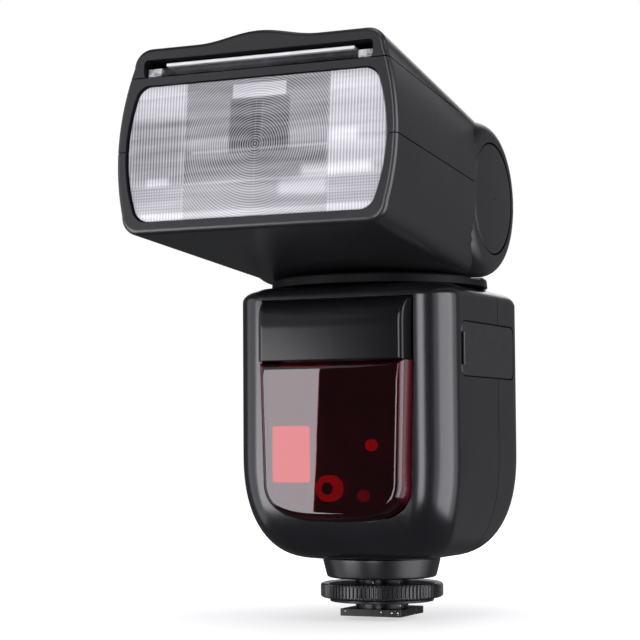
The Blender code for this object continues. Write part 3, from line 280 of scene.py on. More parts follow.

# ----------------------------------------
# Shoe foot, contacts, clamp plate and screws. The foot is black-coated metal with painted glints,
# scattered bright metal specks; gold spring contacts stand out of its underside.


def coated_metal(name, colour=(0.008, 0.008, 0.009), roughness=0.32, painted_glints=0.0):
    """Black coating over metal: fine cloudiness, a faint orange peel, and bright metal specks that are
    painted glints.
    """
    recipe = Recipe(name)
    coat = recipe.two_tone(260.0, 0.35, 0.65, colour, tuple(0.6 * c for c in colour), 3.0)
    # painted glints: scattered specks turn to bright metal colour, as strongly as the last argument says
    glint_specks = recipe.span(recipe.noise(1100.0, 2.0), 0.69, 0.73, 0.0, painted_glints)
    recipe.set(
        Base_Color=recipe.mix(glint_specks, coat, (0.7, 0.66, 0.58)),
        Roughness=recipe.span(recipe.noise(900.0), 0.3, 0.7, roughness - 0.07, roughness + 0.07),
        Metallic=recipe.math("MAXIMUM", 0.35, glint_specks),
        Specular_IOR_Level=0.25,
    )
    recipe.bump(recipe.noise(2600.0), 0.00001, 0.3)
    return recipe.material


def bare_metal(name, colour, roughness, stretch=(1.0, 1.0, 12.0)):
    """Bare metal with fine turning or rolling lines."""
    recipe = Recipe(name)
    lines = recipe.noise(700.0, 3.0, stretch)
    darker = tuple(0.8 * c for c in colour)
    recipe.set(
        Base_Color=recipe.mix(recipe.span(lines, 0.35, 0.65, 0.0, 1.0), colour, darker),
        Roughness=recipe.span(lines, 0.3, 0.7, roughness - 0.06, roughness + 0.08),
        Metallic=1.0,
    )
    recipe.bump(lines, 0.00001, 0.4)
    return recipe.material


def dress(name, material, bevel=0.25, segments=2):
    """Give a CAD node its finish, with small moulded radii along its edges."""
    piece = nodes[name]
    mesh = piece.data
    mesh.materials.clear()
    mesh.materials.append(material)
    mesh.polygons.foreach_set("use_smooth", np.ones(len(mesh.polygons), bool))
    weld = piece.modifiers.new("weld", "WELD")
    weld.merge_threshold = 1e-6
    flat = piece.modifiers.new("flat", "DECIMATE")
    flat.decimate_type = "DISSOLVE"
    flat.angle_limit = math.radians(1.0)
    round_edges = piece.modifiers.new("edges", "BEVEL")
    round_edges.width = bevel * MM
    round_edges.segments = segments
    round_edges.limit_method = "ANGLE"
    round_edges.angle_limit = math.radians(35.0)
    even = piece.modifiers.new("even", "WEIGHTED_NORMAL")
    even.weight = 90


gold_plate = bare_metal("gold_plating", (0.78, 0.55, 0.2), 0.25)
zinc_steel = bare_metal("machined_steel", (0.5, 0.5, 0.52), 0.32)
dress("shoe_foot", coated_metal("foot_coating", (0.006, 0.006, 0.007), 0.26, 0.8), 0.2)
dress("clamp_plate", coated_metal("clamp_coating"), 0.15)
dress("lock_pin", zinc_steel, 0.2)
for pin in ("centre_contact", "contact_pin_1", "contact_pin_2", "contact_pin_3", "contact_pin_4"):
    dress(pin, gold_plate, 0.1)
for screw in ("foot_screw_left", "foot_screw_right", "head_screw_1", "head_screw_2"):
    dress(screw, zinc_steel, 0.2)

# ----------------------------------------
# Lock ring and foot collar: moulded black plastic. The ring's edge is cut with about ninety
# fine teeth for the thumb, and the collar above it widens towards the body.


def black_plastic(name, colour=(0.005, 0.005, 0.006), roughness=0.26, gloss=0.5):
    """Satin moulded plastic: spark-eroded grain, slow changes of tone and a little dust."""
    recipe = Recipe(name)
    tone = recipe.two_tone(55.0, 0.35, 0.65, colour, tuple(1.35 * c for c in colour), 3.0)
    dust = recipe.span(recipe.noise(1500.0, 2.0, None, 0.6), 0.74, 0.80, 0.0, 0.3)
    recipe.set(
        Base_Color=recipe.mix(dust, tone, (0.012, 0.012, 0.013)),
        Roughness=recipe.span(recipe.noise(900.0, 3.0), 0.3, 0.7, roughness - 0.01, roughness + 0.015),
        Specular_IOR_Level=gloss,
    )
    recipe.bump(recipe.noise(5200.0, 2.0), 0.000005, 0.3)
    return recipe.material


def solid(name, rings, closed=False, sharp=30.0):
    """A skin over rings of points in millimetres, given as an array (ring, point, 3).

    Each ring is joined to the next; the ends are closed by a flat face, or to each other.
    """
    rings = np.asarray(rings, float)
    count, size, _ = rings.shape
    index = np.arange(count * size).reshape(count, size)
    low = index if closed else index[:-1]
    high = np.roll(index, -1, axis=0) if closed else index[1:]
    quads = np.stack([low, np.roll(low, -1, 1), np.roll(high, -1, 1), high], axis=-1)
    faces = quads.reshape(-1, 4).tolist()
    if not closed:
        faces += [index[0].tolist(), index[-1].tolist()]
    mesh = bpy.data.meshes.new(name)
    mesh.from_pydata((rings.reshape(-1, 3) * MM).tolist(), [], faces)
    tidy = bmesh.new()
    tidy.from_mesh(mesh)
    bmesh.ops.recalc_face_normals(tidy, faces=tidy.faces)
    tidy.to_mesh(mesh)
    tidy.free()
    mesh.shade_smooth()
    mesh.set_sharp_from_angle(angle=math.radians(sharp))
    piece = bpy.data.objects.new(name, mesh)
    bpy.context.scene.collection.objects.link(piece)
    return piece


def turned(name, profile, axis="Z", centre=(0.0, 0.0), segments=96, sharp=30.0):
    """A profile of (along, radius) rows carried round an axis; it closes on itself."""
    profile = np.asarray(profile, float)
    angle = 2 * np.pi * (np.arange(segments) + 0.5) / segments
    along = np.repeat(profile[:, :1], segments, axis=1)
    a = centre[0] + profile[:, 1:] * np.cos(angle)
    b = centre[1] + profile[:, 1:] * np.sin(angle)
    order = {"X": (along, a, b), "Y": (a, along, b), "Z": (a, b, along)}[axis]
    return solid(name, np.stack(order, axis=-1), closed=True, sharp=sharp)


def fit(piece, body, material, slot, *replaced):
    """Finish a new piece, fix it to its body and let it stand for CAD nodes."""
    piece.data.materials.clear()
    piece.data.materials.append(material)
    even = piece.modifiers.new("even", "WEIGHTED_NORMAL")
    even.keep_sharp = True
    even.weight = 90
    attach(piece, body)
    if replaced:
        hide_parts(*replaced)


RING_RADIUS = 17.5
RING_BORE = 7.9
RING_LOW = 5.0
RING_HIGH = 9.2
RING_TEETH = 90
TOOTH_DEPTH = 0.5
STEPS_PER_TOOTH = 8

# The rim's radius falls and rises with the cosine of the tooth angle, and fades into the flanks.
ring_steps = RING_TEETH * STEPS_PER_TOOTH
tooth_angle = 2 * np.pi * np.arange(ring_steps) / ring_steps
tooth_wave = np.clip(0.5 - 0.9 * np.cos(RING_TEETH * tooth_angle), 0.0, 1.0)
ring_profile = [
    (RING_LOW, RING_BORE, 0.0),
    (RING_LOW, RING_RADIUS - 1.6, 0.0),
    (RING_LOW, RING_RADIUS - 0.9, 0.0),
    (RING_LOW + 0.15, RING_RADIUS - 0.45, 0.4),
    (RING_LOW + 0.6, RING_RADIUS, 1.0),
    (RING_HIGH - 0.6, RING_RADIUS, 1.0),
    (RING_HIGH - 0.15, RING_RADIUS - 0.45, 0.4),
    (RING_HIGH, RING_RADIUS - 0.9, 0.0),
    (RING_HIGH, RING_RADIUS - 1.6, 0.0),
    (RING_HIGH, RING_RADIUS - 2.4, 0.0),
    (RING_HIGH, RING_BORE, 0.0),
]
ring_rows = []
for height, radius, share in ring_profile:
    around = radius - TOOTH_DEPTH * share * tooth_wave
    heights = np.full(ring_steps, height)
    ring_rows.append(np.stack([around * np.cos(tooth_angle), around * np.sin(tooth_angle), heights], -1))
lock_ring = solid("lock_ring_knurled", ring_rows, closed=True)
ring_plastic = black_plastic("ring_plastic", roughness=0.28, gloss=0.36)
fit(lock_ring, "lock_ring_part", ring_plastic, "black_plastic", "lock_ring")

COLLAR_LOW = 10.6
COLLAR_HIGH = 16.0
collar = turned(
    "foot_collar_turned",
    [
        (COLLAR_LOW, 7.8),
        (COLLAR_LOW, 14.6),
        (COLLAR_LOW + 0.1, 15.1),
        (COLLAR_LOW + 0.35, 15.5),
        (COLLAR_LOW + 0.8, 15.72),
        (COLLAR_HIGH - 0.5, 16.75),
        (COLLAR_HIGH, 16.7),
        (COLLAR_HIGH, 13.0),
        (COLLAR_LOW + 2.0, 12.8),
        (COLLAR_LOW + 2.0, 7.8),
    ],
)
collar_plastic = black_plastic("collar_plastic", roughness=0.3, gloss=0.32)
fit(collar, "body", collar_plastic, "black_plastic", "foot_collar")

# ----------------------------------------
# Body casing: two satin black mouldings, front and rear, that meet at a seam round the sides.
# The block draws in towards the foot in one long curve and has rounded vertical corners.

BODY_HALF = 32.4
BODY_FRONT = -30.8
BODY_REAR = 33.1
BODY_CORNER = 10.0
BODY_LOW = 16.3
BODY_HIGH = 92.4
LOWER_IN = 16.0
LOWER_UP = 30.0
LOWER_POWER = 2.4
UPPER_IN = 6.0
UPPER_DOWN = 4.0
SEAM_Y = 9.6
SEAM_GAP = 0.3


def body_levels():
    """Heights of the casing's rings, close together where it curves."""
    turn = np.linspace(0.0, np.pi / 2, 22)
    lower = BODY_LOW + LOWER_UP * (1 - np.cos(turn))
    middle = np.linspace(BODY_LOW + LOWER_UP, BODY_HIGH - UPPER_DOWN, 6)[1:-1]
    upper = BODY_HIGH - UPPER_DOWN + UPPER_DOWN * np.sin(np.linspace(0.0, np.pi / 2, 10))
    return np.concatenate([lower, middle, upper])


def body_inset(z):
    """How far the casing has drawn in: a superellipse below, an ellipse at the top edge."""
    low = np.clip((BODY_LOW + LOWER_UP - z) / LOWER_UP, 0.0, 1.0)
    high = np.clip((z - BODY_HIGH + UPPER_DOWN) / UPPER_DOWN, 0.0, 1.0)
    below = LOWER_IN * (1 - (1 - low**LOWER_POWER) ** (1 / LOWER_POWER))
    return below + UPPER_IN * (1 - np.sqrt(1 - high**2))


def casing_half(name, front):
    """One moulding as a solid: straight sides from the seam, two round corners and a face."""
    seam = SEAM_Y - SEAM_GAP / 2 if front else SEAM_Y + SEAM_GAP / 2
    away = -1.0 if front else 1.0
    face = BODY_FRONT if front else BODY_REAR
    z = body_levels()
    inset = body_inset(z)
    half = BODY_HALF - inset
    flat = face - away * inset
    turn = np.linspace(0.0, np.pi / 2, 15)
    straight = np.linspace(0.0, 1.0, 7)[:-1]
    corner_x = half - BODY_CORNER
    corner_y = flat - away * BODY_CORNER
    side_x = np.repeat(half[:, None], len(straight), 1)
    side_y = seam + (corner_y[:, None] - seam) * straight
    arc_x = corner_x[:, None] + BODY_CORNER * np.cos(turn)
    arc_y = corner_y[:, None] + away * BODY_CORNER * np.sin(turn)
    middle_x = corner_x[:, None] * (1 - np.linspace(0.0, 1.0, 5)[1:])
    middle_y = np.repeat(flat[:, None], 4, 1)
    right_x = np.concatenate([side_x, arc_x, middle_x], 1)
    right_y = np.concatenate([side_y, arc_y, middle_y], 1)
    x = np.concatenate([right_x, -right_x[:, -2::-1]], 1)
    y = np.concatenate([right_y, right_y[:, -2::-1]], 1)
    return solid(name, np.stack([x, y, np.repeat(z[:, None], x.shape[1], 1)], -1))


def carve(piece, *cutters, operation="DIFFERENCE", keep=False):
    """Cut the cutters out of a piece, or join them to it, and drop the cutters."""
    for cutter in cutters:
        change = piece.modifiers.new("cut", "BOOLEAN")
        change.operation = operation
        change.solver = "EXACT"
        change.object = cutter
        graph = bpy.context.evaluated_depsgraph_get()
        mesh = bpy.data.meshes.new_from_object(piece.evaluated_get(graph))
        piece.modifiers.clear()
        old = piece.data
        piece.data = mesh
        bpy.data.meshes.remove(old)
        if not keep:
            bpy.data.objects.remove(cutter)
    piece.data.shade_smooth()
    piece.data.set_sharp_from_angle(angle=math.radians(30.0))
    return piece


def prism(name, outline, axis, low, high):
    """An outline across an axis carried straight from low to high."""
    a, b = np.asarray(outline, float).T
    rings = []
    for along in (low, high):
        line = np.full_like(a, along)
        rings.append(np.stack({"X": (line, a, b), "Y": (a, line, b), "Z": (a, b, line)}[axis], -1))
    return solid(name, rings)


def round_rectangle(low, high, radius, steps=8):
    """A rectangle between two corners with quarter circles at its own corners."""
    turn = np.linspace(0.0, np.pi / 2, steps + 1)
    outline = []
    for start, sx, sy in ((0, 1, 1), (1, 0, 1), (2, 0, 0), (3, 1, 0)):
        cx = (high[0] - radius) if sx else (low[0] + radius)
        cy = (high[1] - radius) if sy else (low[1] + radius)
        angle = turn + start * np.pi / 2
        outline.append(np.stack([cx + radius * np.cos(angle), cy + radius * np.sin(angle)], -1))
    return np.concatenate(outline)


def block(x, y, z):
    """A plain cutter between (low, high) pairs."""
    outline = [(x[0], y[0]), (x[1], y[0]), (x[1], y[1]), (x[0], y[1])]
    return prism("cutter", outline, "Z", *z)


def node_box(name):
    """A CAD node's (low, high) pairs along X, Y and Z, in millimetres."""
    low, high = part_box(name)
    return [(low[i] / MM, high[i] / MM) for i in range(3)]


def grown(pairs, by):
    """The pairs with each end moved out by a clearance."""
    return [(low - by, high + by) for low, high in pairs]


WINDOW_HALF = 21.4
WINDOW_LOW = 28.2
WINDOW_HIGH = 70.9
WINDOW_BEND = 40.0
WINDOW_FACE = -36.0
WINDOW_WALL = 1.6
CLEARANCE = 0.3
PANEL_HIGH = 88.2


def window_outline(shrink=0.0, draft=0.0, steps=48):
    """The window's shield shape: sides that close in a little and a superellipse of power 3."""
    half = WINDOW_HALF + draft - shrink
    half_low = half - 0.9
    bottom = WINDOW_LOW - draft + shrink
    angle = np.pi * np.arange(steps + 1) / steps
    c, s = np.cos(angle), np.abs(np.sin(angle))
    x = half_low * np.sign(c) * np.abs(c) ** (2 / 3)
    z = WINDOW_BEND - (WINDOW_BEND - bottom) * s ** (2 / 3)
    top = WINDOW_HIGH - shrink
    sides = np.linspace(1.0, 0.0, 9)[:-1]
    right = np.stack([half_low + (half - half_low) * sides, WINDOW_BEND + (top - WINDOW_BEND) * sides], -1)
    left = right[::-1] * (-1, 1)
    return np.concatenate([right, np.stack([x, z], -1), left])


shell_plastic = black_plastic("casing_plastic", roughness=0.21)
front_shell = casing_half("front_casing", True)
PAST = 5.0  # how far a cutter stands out of the surface it opens
WINDOW_DRAFT = 1.0
NOTCH_HALF = 4.4
NOTCH_REACH = 4.0
NOTCH_DEPTH = 3.0
COVER_CORNER = 2.7
PORT_ROOM = (9.6 + CLEARANCE, (-14.3, 18.3), (69.5, 79.5))
LATCH_TRAVEL = 3.0
pocket = (WINDOW_FACE - 4.0, BODY_FRONT + 7.0)
open_half = WINDOW_HALF + WINDOW_DRAFT + CLEARANCE
cover_x, cover_y, cover_z = node_box("port_cover")


def cover_pocket():
    """Cutter for the port cover's shallow pocket."""
    low = (cover_y[0] - CLEARANCE, cover_z[0] - CLEARANCE)
    high = (cover_y[1] + CLEARANCE, cover_z[1] + CLEARANCE)
    outline = round_rectangle(low, high, COVER_CORNER)
    return prism("cutter", outline, "X", cover_x[0] - CLEARANCE, BODY_HALF + PAST)


slot_middle = sum(cover_z) / 2
finger_slot = block(
    (cover_x[0] - NOTCH_DEPTH, BODY_HALF + PAST),
    (cover_y[0] - 0.5, cover_y[0] + NOTCH_REACH),
    (slot_middle - NOTCH_HALF, slot_middle + NOTCH_HALF),
)
port_room = block((BODY_HALF - PORT_ROOM[0], BODY_HALF + PAST), *PORT_ROOM[1:])
battery_room = block(*grown(node_box("battery_pack"), CLEARANCE))
latch_x, latch_y, latch_z = grown(node_box("battery_latch"), CLEARANCE)
latch_room = block(latch_x, (latch_y[0], latch_y[1] + LATCH_TRAVEL), latch_z)
carve(
    front_shell,
    prism("cutter", window_outline(-CLEARANCE, WINDOW_DRAFT), "Y", *pocket),
    block((-open_half, open_half), pocket, (WINDOW_HIGH - 1.0, PANEL_HIGH + CLEARANCE)),
    cover_pocket(),
    finger_slot,
    battery_room,
    latch_room,
)
carve(front_shell, port_room, keep=True)
fit(front_shell, "body", shell_plastic, "black_plastic", "front_shell")

rear_shell = casing_half("rear_casing", False)
DIAL_Z = 37.0
DIAL_BOSS = 12.5
DIAL_WELL = 8.4
BOSS_ROOT = 20.0
KEY_Z = 53.4
KEY_ROOM = (4.0, 2.1)
ROUND_KEY_Z = 39.5
ROUND_KEY_ROOM = 3.3
SWITCH_TRAVEL = 5.0
FUNCTION_KEYS = ("function_key_1", "function_key_2", "function_key_3", "function_key_4")
boss_profile = [(BOSS_ROOT, 1.0), (BOSS_ROOT, DIAL_BOSS), (BODY_REAR - 0.4, DIAL_BOSS)]
boss_profile += [(BODY_REAR, DIAL_BOSS - 0.4), (BODY_REAR, 1.0)]
carve(rear_shell, turned("boss", boss_profile, "Y", (0.0, DIAL_Z)), operation="UNION")
carve(rear_shell, cover_pocket(), port_room)
deep = (BODY_REAR - 8.0, BODY_REAR + 4.0)


def round_well(x, z, reach, corner, steps):
    """Cutter for a round well in the rear face."""
    outline = round_rectangle((x - reach, z - reach), (x + reach, z + reach), corner, steps)
    return prism("cutter", outline, "Y", *deep)


display_x, _, display_z = grown(node_box("display_window"), CLEARANCE)
carve(rear_shell, block(display_x, deep, display_z), round_well(0.0, DIAL_Z, DIAL_WELL, 8.3, 16))
for key in FUNCTION_KEYS:
    middle = sum(node_box(key)[0]) / 2
    key_x = (middle - KEY_ROOM[0], middle + KEY_ROOM[0])
    carve(rear_shell, block(key_x, deep, (KEY_Z - KEY_ROOM[1], KEY_Z + KEY_ROOM[1])))
for side in (-18.0, 18.0):
    carve(rear_shell, round_well(side, ROUND_KEY_Z, ROUND_KEY_ROOM, 3.25, 12))
switch_x, _, switch_z = grown(node_box("power_switch"), CLEARANCE)
carve(rear_shell, block((switch_x[0], switch_x[1] + SWITCH_TRAVEL), deep, switch_z))
fit(rear_shell, "body", shell_plastic, "black_plastic", "rear_shell")

# ----------------------------------------
# Port cover, ports, battery and latch. The cover is a soft rubber flap let flush into the side;
# the battery's end forms the left side of the body and slides out past its latch.


def soft_rubber(name, colour=(0.006, 0.006, 0.007), roughness=0.42):
    """Matt rubber with a fine even grain."""
    recipe = Recipe(name)
    lighter = tuple(1.4 * c for c in colour)
    recipe.set(
        Base_Color=recipe.two_tone(300.0, 0.35, 0.65, colour, lighter, 3.0),
        Roughness=recipe.span(recipe.noise(1200.0), 0.3, 0.7, roughness - 0.05, roughness + 0.08),
    )
    recipe.bump(recipe.noise(4200.0), 0.00004, 0.5)
    return recipe.material


rubber = soft_rubber("flap_rubber", roughness=0.34)
dress("port_cover", rubber, 0.3, 3)
dress("port_block", black_plastic("port_plastic", roughness=0.4), 0.2)
dress("battery_pack", black_plastic("battery_plastic", (0.006, 0.006, 0.007), 0.3), 0.35)
dress("battery_latch", black_plastic("latch_plastic", (0.008, 0.008, 0.009), 0.3), 0.4, 3)

# ----------------------------------------
# Red window with the lamps behind it. The window is one deep red see-through cap, polished, with
# rounded front edges; behind it on a black tray sit a square assist lamp, a ring sensor and two
# small indicator domes.


def see_through_red(name, tint, cover=0.45):
    """Dyed clear plastic: it lets through its own colour and mirrors lights on its polish; its side walls are
    painted a lighter red, a painted glow.
    """
    recipe = Recipe(name)
    far = recipe.math("ABSOLUTE", recipe.apart(recipe.place)[0])
    body = recipe.two_tone(120.0, 0.3, 0.7, (0.006, 0.0, 0.0005), (0.010, 0.0, 0.001))
    recipe.set(
        # painted glow: from 19.4 to 20.6 mm out from the middle, on the side walls, the colour turns a
        # lighter red
        Base_Color=recipe.mix(recipe.span(far, 19.4 * MM, 20.6 * MM, 0.0, 1.0), body, (0.07, 0.003, 0.009)),
        Roughness=recipe.span(recipe.noise(300.0, 3.0), 0.3, 0.7, 0.0, 0.012),
        Specular_IOR_Level=1.0,
    )
    recipe.veil(recipe.facing(0.35, cover, 1.0), tint)
    return recipe.material


def window_skin():
    """Rings of the cap: inside from its floor to the rear edge, then outside to the front."""
    edge = 2.0
    turn = np.linspace(0.0, np.pi / 2, 6)
    inside = WINDOW_FACE + WINDOW_WALL
    rows = [(inside, WINDOW_WALL + 0.5, 0.0), (inside + 0.5, WINDOW_WALL, 0.1)]
    rows += [(BODY_FRONT, WINDOW_WALL, 1.0), (BODY_FRONT + 6.0, WINDOW_WALL, 1.0)]
    rows += [(BODY_FRONT + 6.0, 0.0, 1.0), (BODY_FRONT, 0.0, 1.0), (BODY_FRONT - 2.0, 0.0, 0.6)]
    for t in turn:
        rows.append((WINDOW_FACE + edge * (1 - np.sin(t)), edge * (1 - np.cos(t)), 0.15 * (1 - np.sin(t))))
    rings = []
    for y, shrink, draft in rows:
        outline = window_outline(shrink, draft)
        rings.append(np.stack([outline[:, 0], np.full(len(outline), y), outline[:, 1]], -1))
    return rings


window = solid("window_cap", window_skin())
fit(window, "body", see_through_red("window_red", (0.62, 0.02, 0.035)), "red_clear", "red_window")


def plastic_painted_glow(name, colour, glow=0.0, roughness=0.25, hole_shade=None):
    """Moulded lamp plastic with faint ribs and a painted glow: an emission that stands in for the light it
    catches through the red window.

    The last argument is the X and Z in millimetres of a dark round middle, painted shade that widens the
    ring's hole, and its radius.
    """
    recipe = Recipe(name)
    ribs = recipe.noise(900.0, 2.0, (1.0, 1.0, 6.0))
    dark = tuple(0.45 * c for c in colour)
    shade = recipe.mix(recipe.span(ribs, 0.35, 0.65, 0.0, 1.0), colour, dark)
    light = recipe.mix(recipe.span(ribs, 0.3, 0.7, 0.0, 0.5), colour, dark)
    # painted shade: inside that radius the ring is near black and gives no glow
    if hole_shade:
        mapping = recipe.new("Mapping")
        mapping.inputs["Location"].default_value = (-hole_shade[0] * MM, 0.0, -hole_shade[1] * MM)
        mapping.inputs["Scale"].default_value = (1.0, 0.0, 1.0)
        recipe.feed(mapping.inputs["Vector"], recipe.place)
        far = recipe.length(mapping.outputs[0])
        rim = recipe.span(far, (hole_shade[2] - 0.2) * MM, (hole_shade[2] + 0.2) * MM, 0.0, 1.0)
        shade = recipe.mix(rim, (0.004, 0.0, 0.0), shade)
        light = recipe.mix(rim, (0.0, 0.0, 0.0), light)
    recipe.set(Base_Color=shade, Roughness=roughness, Emission_Color=light, Emission_Strength=glow)
    recipe.bump(ribs, 0.00006, 0.6)
    return recipe.material


dress("window_tray", black_plastic("tray_plastic", (0.006, 0.004, 0.004), 0.4), 0.2)
# painted glow: the unlit lamp, sensor ring and domes shine by emission in place of the light they catch
# through the window
dress("assist_lamp", plastic_painted_glow("assist_red", (0.75, 0.03, 0.04), 6.8), 0.5, 3)
dress("sensor_ring", plastic_painted_glow("sensor_red", (0.95, 0.04, 0.04), 1.5, hole_shade=(-2.4, 36.4, 1.7)), 0.2)
dress("indicator_upper", plastic_painted_glow("indicator_red", (0.95, 0.2, 0.15), 1.6), 0.2)
dress("indicator_lower", plastic_painted_glow("indicator_red_low", (0.8, 0.08, 0.08), 0.7), 0.2)

# ----------------------------------------
# Gloss panel above the window: polished black plastic whose face bends back into the body.


def polished_black(name, colour=(0.004, 0.004, 0.0045), roughness=0.08, gloss=0.5):
    """Piano-black moulding with hairline scratches and a few specks of dust."""
    recipe = Recipe(name)
    hair = recipe.span(recipe.noise(900.0, 4.0, (1.0, 1.0, 0.05)), 0.62, 0.7, 0.0, 0.05)
    dust = recipe.span(recipe.noise(1300.0, 2.0), 0.74, 0.78, 0.0, 0.3)
    recipe.set(
        Base_Color=recipe.mix(dust, colour, (0.02, 0.02, 0.021)),
        Roughness=recipe.math("ADD", roughness, hair),
        Specular_IOR_Level=gloss,
    )
    recipe.bump(recipe.noise(60.0, 1.0), 0.00004, 0.25)
    return recipe.material


def panel_skin():
    """Outlines in Y and Z, flat up the face and then a superellipse back, carried across X."""
    low = WINDOW_HIGH + CLEARANCE
    proud = BODY_FRONT - WINDOW_FACE
    bend = 8.2
    turn = np.pi / 2 * np.linspace(0.0, 1.0, 28) ** 1.5
    power = 2 / 2.5
    up = bend * np.sin(turn) ** power
    crest = np.stack([BODY_FRONT - proud * np.cos(turn).clip(0.0) ** power, PANEL_HIGH - bend + up], -1)
    rear = BODY_FRONT + 5.0
    rings = []
    for share, inset in ((1.0, 0.9), (0.99, 0.45), (0.965, 0.12), (0.93, 0.0), (0.5, 0.0), (0.0, 0.0)):
        face = crest + np.stack([inset * np.cos(turn), -inset * np.sin(turn)], -1)
        front = WINDOW_FACE + inset
        foot = [(rear, low), (front + 0.3, low), (front, low + 0.3)]
        outline = np.concatenate([foot, face, [(rear, PANEL_HIGH - inset)]])
        half = WINDOW_HALF + np.clip((outline[:, 0] - WINDOW_FACE) / proud, 0.0, 1.0)
        rings.append(np.stack([half * share, outline[:, 0], outline[:, 1]], -1))
    mirrored = [ring * (-1, 1, 1) for ring in rings[-2::-1]]
    return rings + mirrored


panel = solid("panel_gloss", panel_skin(), sharp=40.0)
panel_gloss = polished_black("gloss_black_plastic", roughness=0.14, gloss=0.25)
fit(panel, "body", panel_gloss, "gloss_black", "front_panel")

# ----------------------------------------
# Back of the body: gloss bezel and display, four soft keys, round keys, dial and power switch.

dress("control_bezel", polished_black("bezel_gloss", (0.005, 0.005, 0.006), 0.14), 0.3, 3)
display_clear = Recipe("display_pane")
pane_tone = display_clear.two_tone(200.0, 0.3, 0.7, (0.02, 0.02, 0.022), (0.028, 0.028, 0.03))
display_clear.set(Base_Color=pane_tone, Roughness=0.06)
display_clear.veil(0.25)
dress("display_window", display_clear.material, 0.3, 3)

screen = Recipe("display_screen")
cells = screen.new("TexBrick")
cells.inputs["Scale"].default_value = 120.0
cells.inputs["Color1"].default_value = (0.20, 0.24, 0.19, 1.0)
cells.inputs["Color2"].default_value = (0.17, 0.21, 0.17, 1.0)
cells.inputs["Mortar"].default_value = (0.12, 0.15, 0.12, 1.0)
cells.inputs["Mortar Size"].default_value = 0.01
turn_up = screen.new("Mapping")
turn_up.inputs["Rotation"].default_value = (math.pi / 2, 0.0, 0.0)
screen.feed(turn_up.inputs["Vector"], screen.place)
screen.feed(cells.inputs["Vector"], turn_up.outputs[0])
screen.set(Base_Color=cells.outputs["Color"], Roughness=0.35)
dress("display_module", screen.material, 0.3)

key_rubber = soft_rubber("key_rubber", (0.014, 0.014, 0.015), 0.42)
for key in (*FUNCTION_KEYS, "test_key", "mode_key"):
    dress(key, key_rubber, 0.4, 3)
dress("set_key", key_rubber, 0.5, 3)
dress("dial", black_plastic("dial_plastic", (0.009, 0.009, 0.01), 0.3), 0.3, 3)
dress("power_switch", black_plastic("switch_plastic", (0.03, 0.03, 0.032), 0.34), 0.35, 3)
circuit = Recipe("circuit_board")
tracks = circuit.two_tone(700.0, 0.45, 0.55, (0.01, 0.07, 0.03), (0.02, 0.11, 0.05), 4.0)
circuit.set(Base_Color=tracks, Roughness=0.4)
dress("main_board", circuit.material, 0.1)
dress("flash_capacitor", coated_metal("capacitor_sleeve", (0.02, 0.02, 0.05), 0.35), 0.6, 3)

# ----------------------------------------
# Turret: a round table that turns on the body, its yoke and steel parts.

dress("turret_yoke", black_plastic("turret_plastic", (0.003, 0.003, 0.0035), 0.45, 0.08), 0.4, 3)
for part in ("swivel_tube", "swivel_retainer", "hinge_shaft"):
    dress(part, zinc_steel, 0.2)

# ----------------------------------------
# Head casing: three satin black mouldings over one smooth form. A long box widens towards the
# lens and ends at the back in a round boss about the tilt axis. The lower and upper shells meet
# at a seam along the middle, and a cover closes the top front.

HINGE_Y = -3.3
HINGE_Z = 116.65
HEAD_PITCH = 5.4
HEAD = Matrix.Translation(Vector((0.0, HINGE_Y, HINGE_Z)) * MM)
HEAD = HEAD @ Matrix.Rotation(-math.radians(HEAD_PITCH), 4, "X")
HEAD_LENGTH = 79.0
HALF_FRONT = 39.4
HALF_REAR = 35.8
TOP_FRONT = 27.6
TOP_REAR = 22.0
HEAD_LOW = -21.8
SIDE_BULGE = 3.6
HEAD_CORNER = 5.0
HUMP_HEIGHT = 2.2
HUMP_HALF = 17.0
HUMP_LENGTH = 20.0
EAR_RADIUS = 21.8
EAR_ROUND = 5.2
EAR_HALF = 36.0
CASE_WALL = 2.2
RIM = 4.0
TOP_SLOPE = (TOP_FRONT - TOP_REAR) / HEAD_LENGTH
COVER_SEAM = 19.6
COVER_END = -24.0


def head_outline(y, inset=0.0, wall=0.0):
    """Outline across the beam: bowed sides, four round corners, a top with a thumb hump."""
    pull = inset + wall
    half = HALF_FRONT + (HALF_REAR - HALF_FRONT) * (y + HEAD_LENGTH) / HEAD_LENGTH - pull
    top = TOP_FRONT - TOP_SLOPE * (y + HEAD_LENGTH) - pull
    low = HEAD_LOW + pull
    corner = HEAD_CORNER - wall * 0.8 - inset * 0.5
    quarter = np.linspace(0.0, np.pi / 2, 9)

    def side(z):
        return half - SIDE_BULGE * (z / HEAD_LOW) ** 2

    z_low, z_high = low + corner, top - corner
    under_x = side(z_low) - corner + corner * np.sin(quarter)
    under_z = z_low - corner * np.cos(quarter)
    flank_z = np.linspace(z_low, z_high, 21)[1:-1]
    over_x = side(z_high) - corner + corner * np.cos(quarter)
    over_z = z_high + corner * np.sin(quarter)
    crest_x = np.linspace(over_x[-1], 0.0, 25)[1:]
    fade = np.clip(1 - (y + HEAD_LENGTH) / HUMP_LENGTH, 0.0, 1.0)
    rise = HUMP_HEIGHT * fade**2 * (3 - 2 * fade) * (0.0 if wall else 1.0)
    swell = np.where(crest_x < HUMP_HALF, np.cos(np.pi * crest_x / (2 * HUMP_HALF)) ** 2, 0.0)
    right_x = np.concatenate([under_x, side(flank_z), over_x, crest_x])
    right_z = np.concatenate([under_z, flank_z, over_z, top + rise * swell])
    x = np.concatenate([right_x, -right_x[-2::-1]])
    z = np.concatenate([right_z, right_z[-2::-1]])
    return np.stack([x, np.full_like(x, y), z], -1)


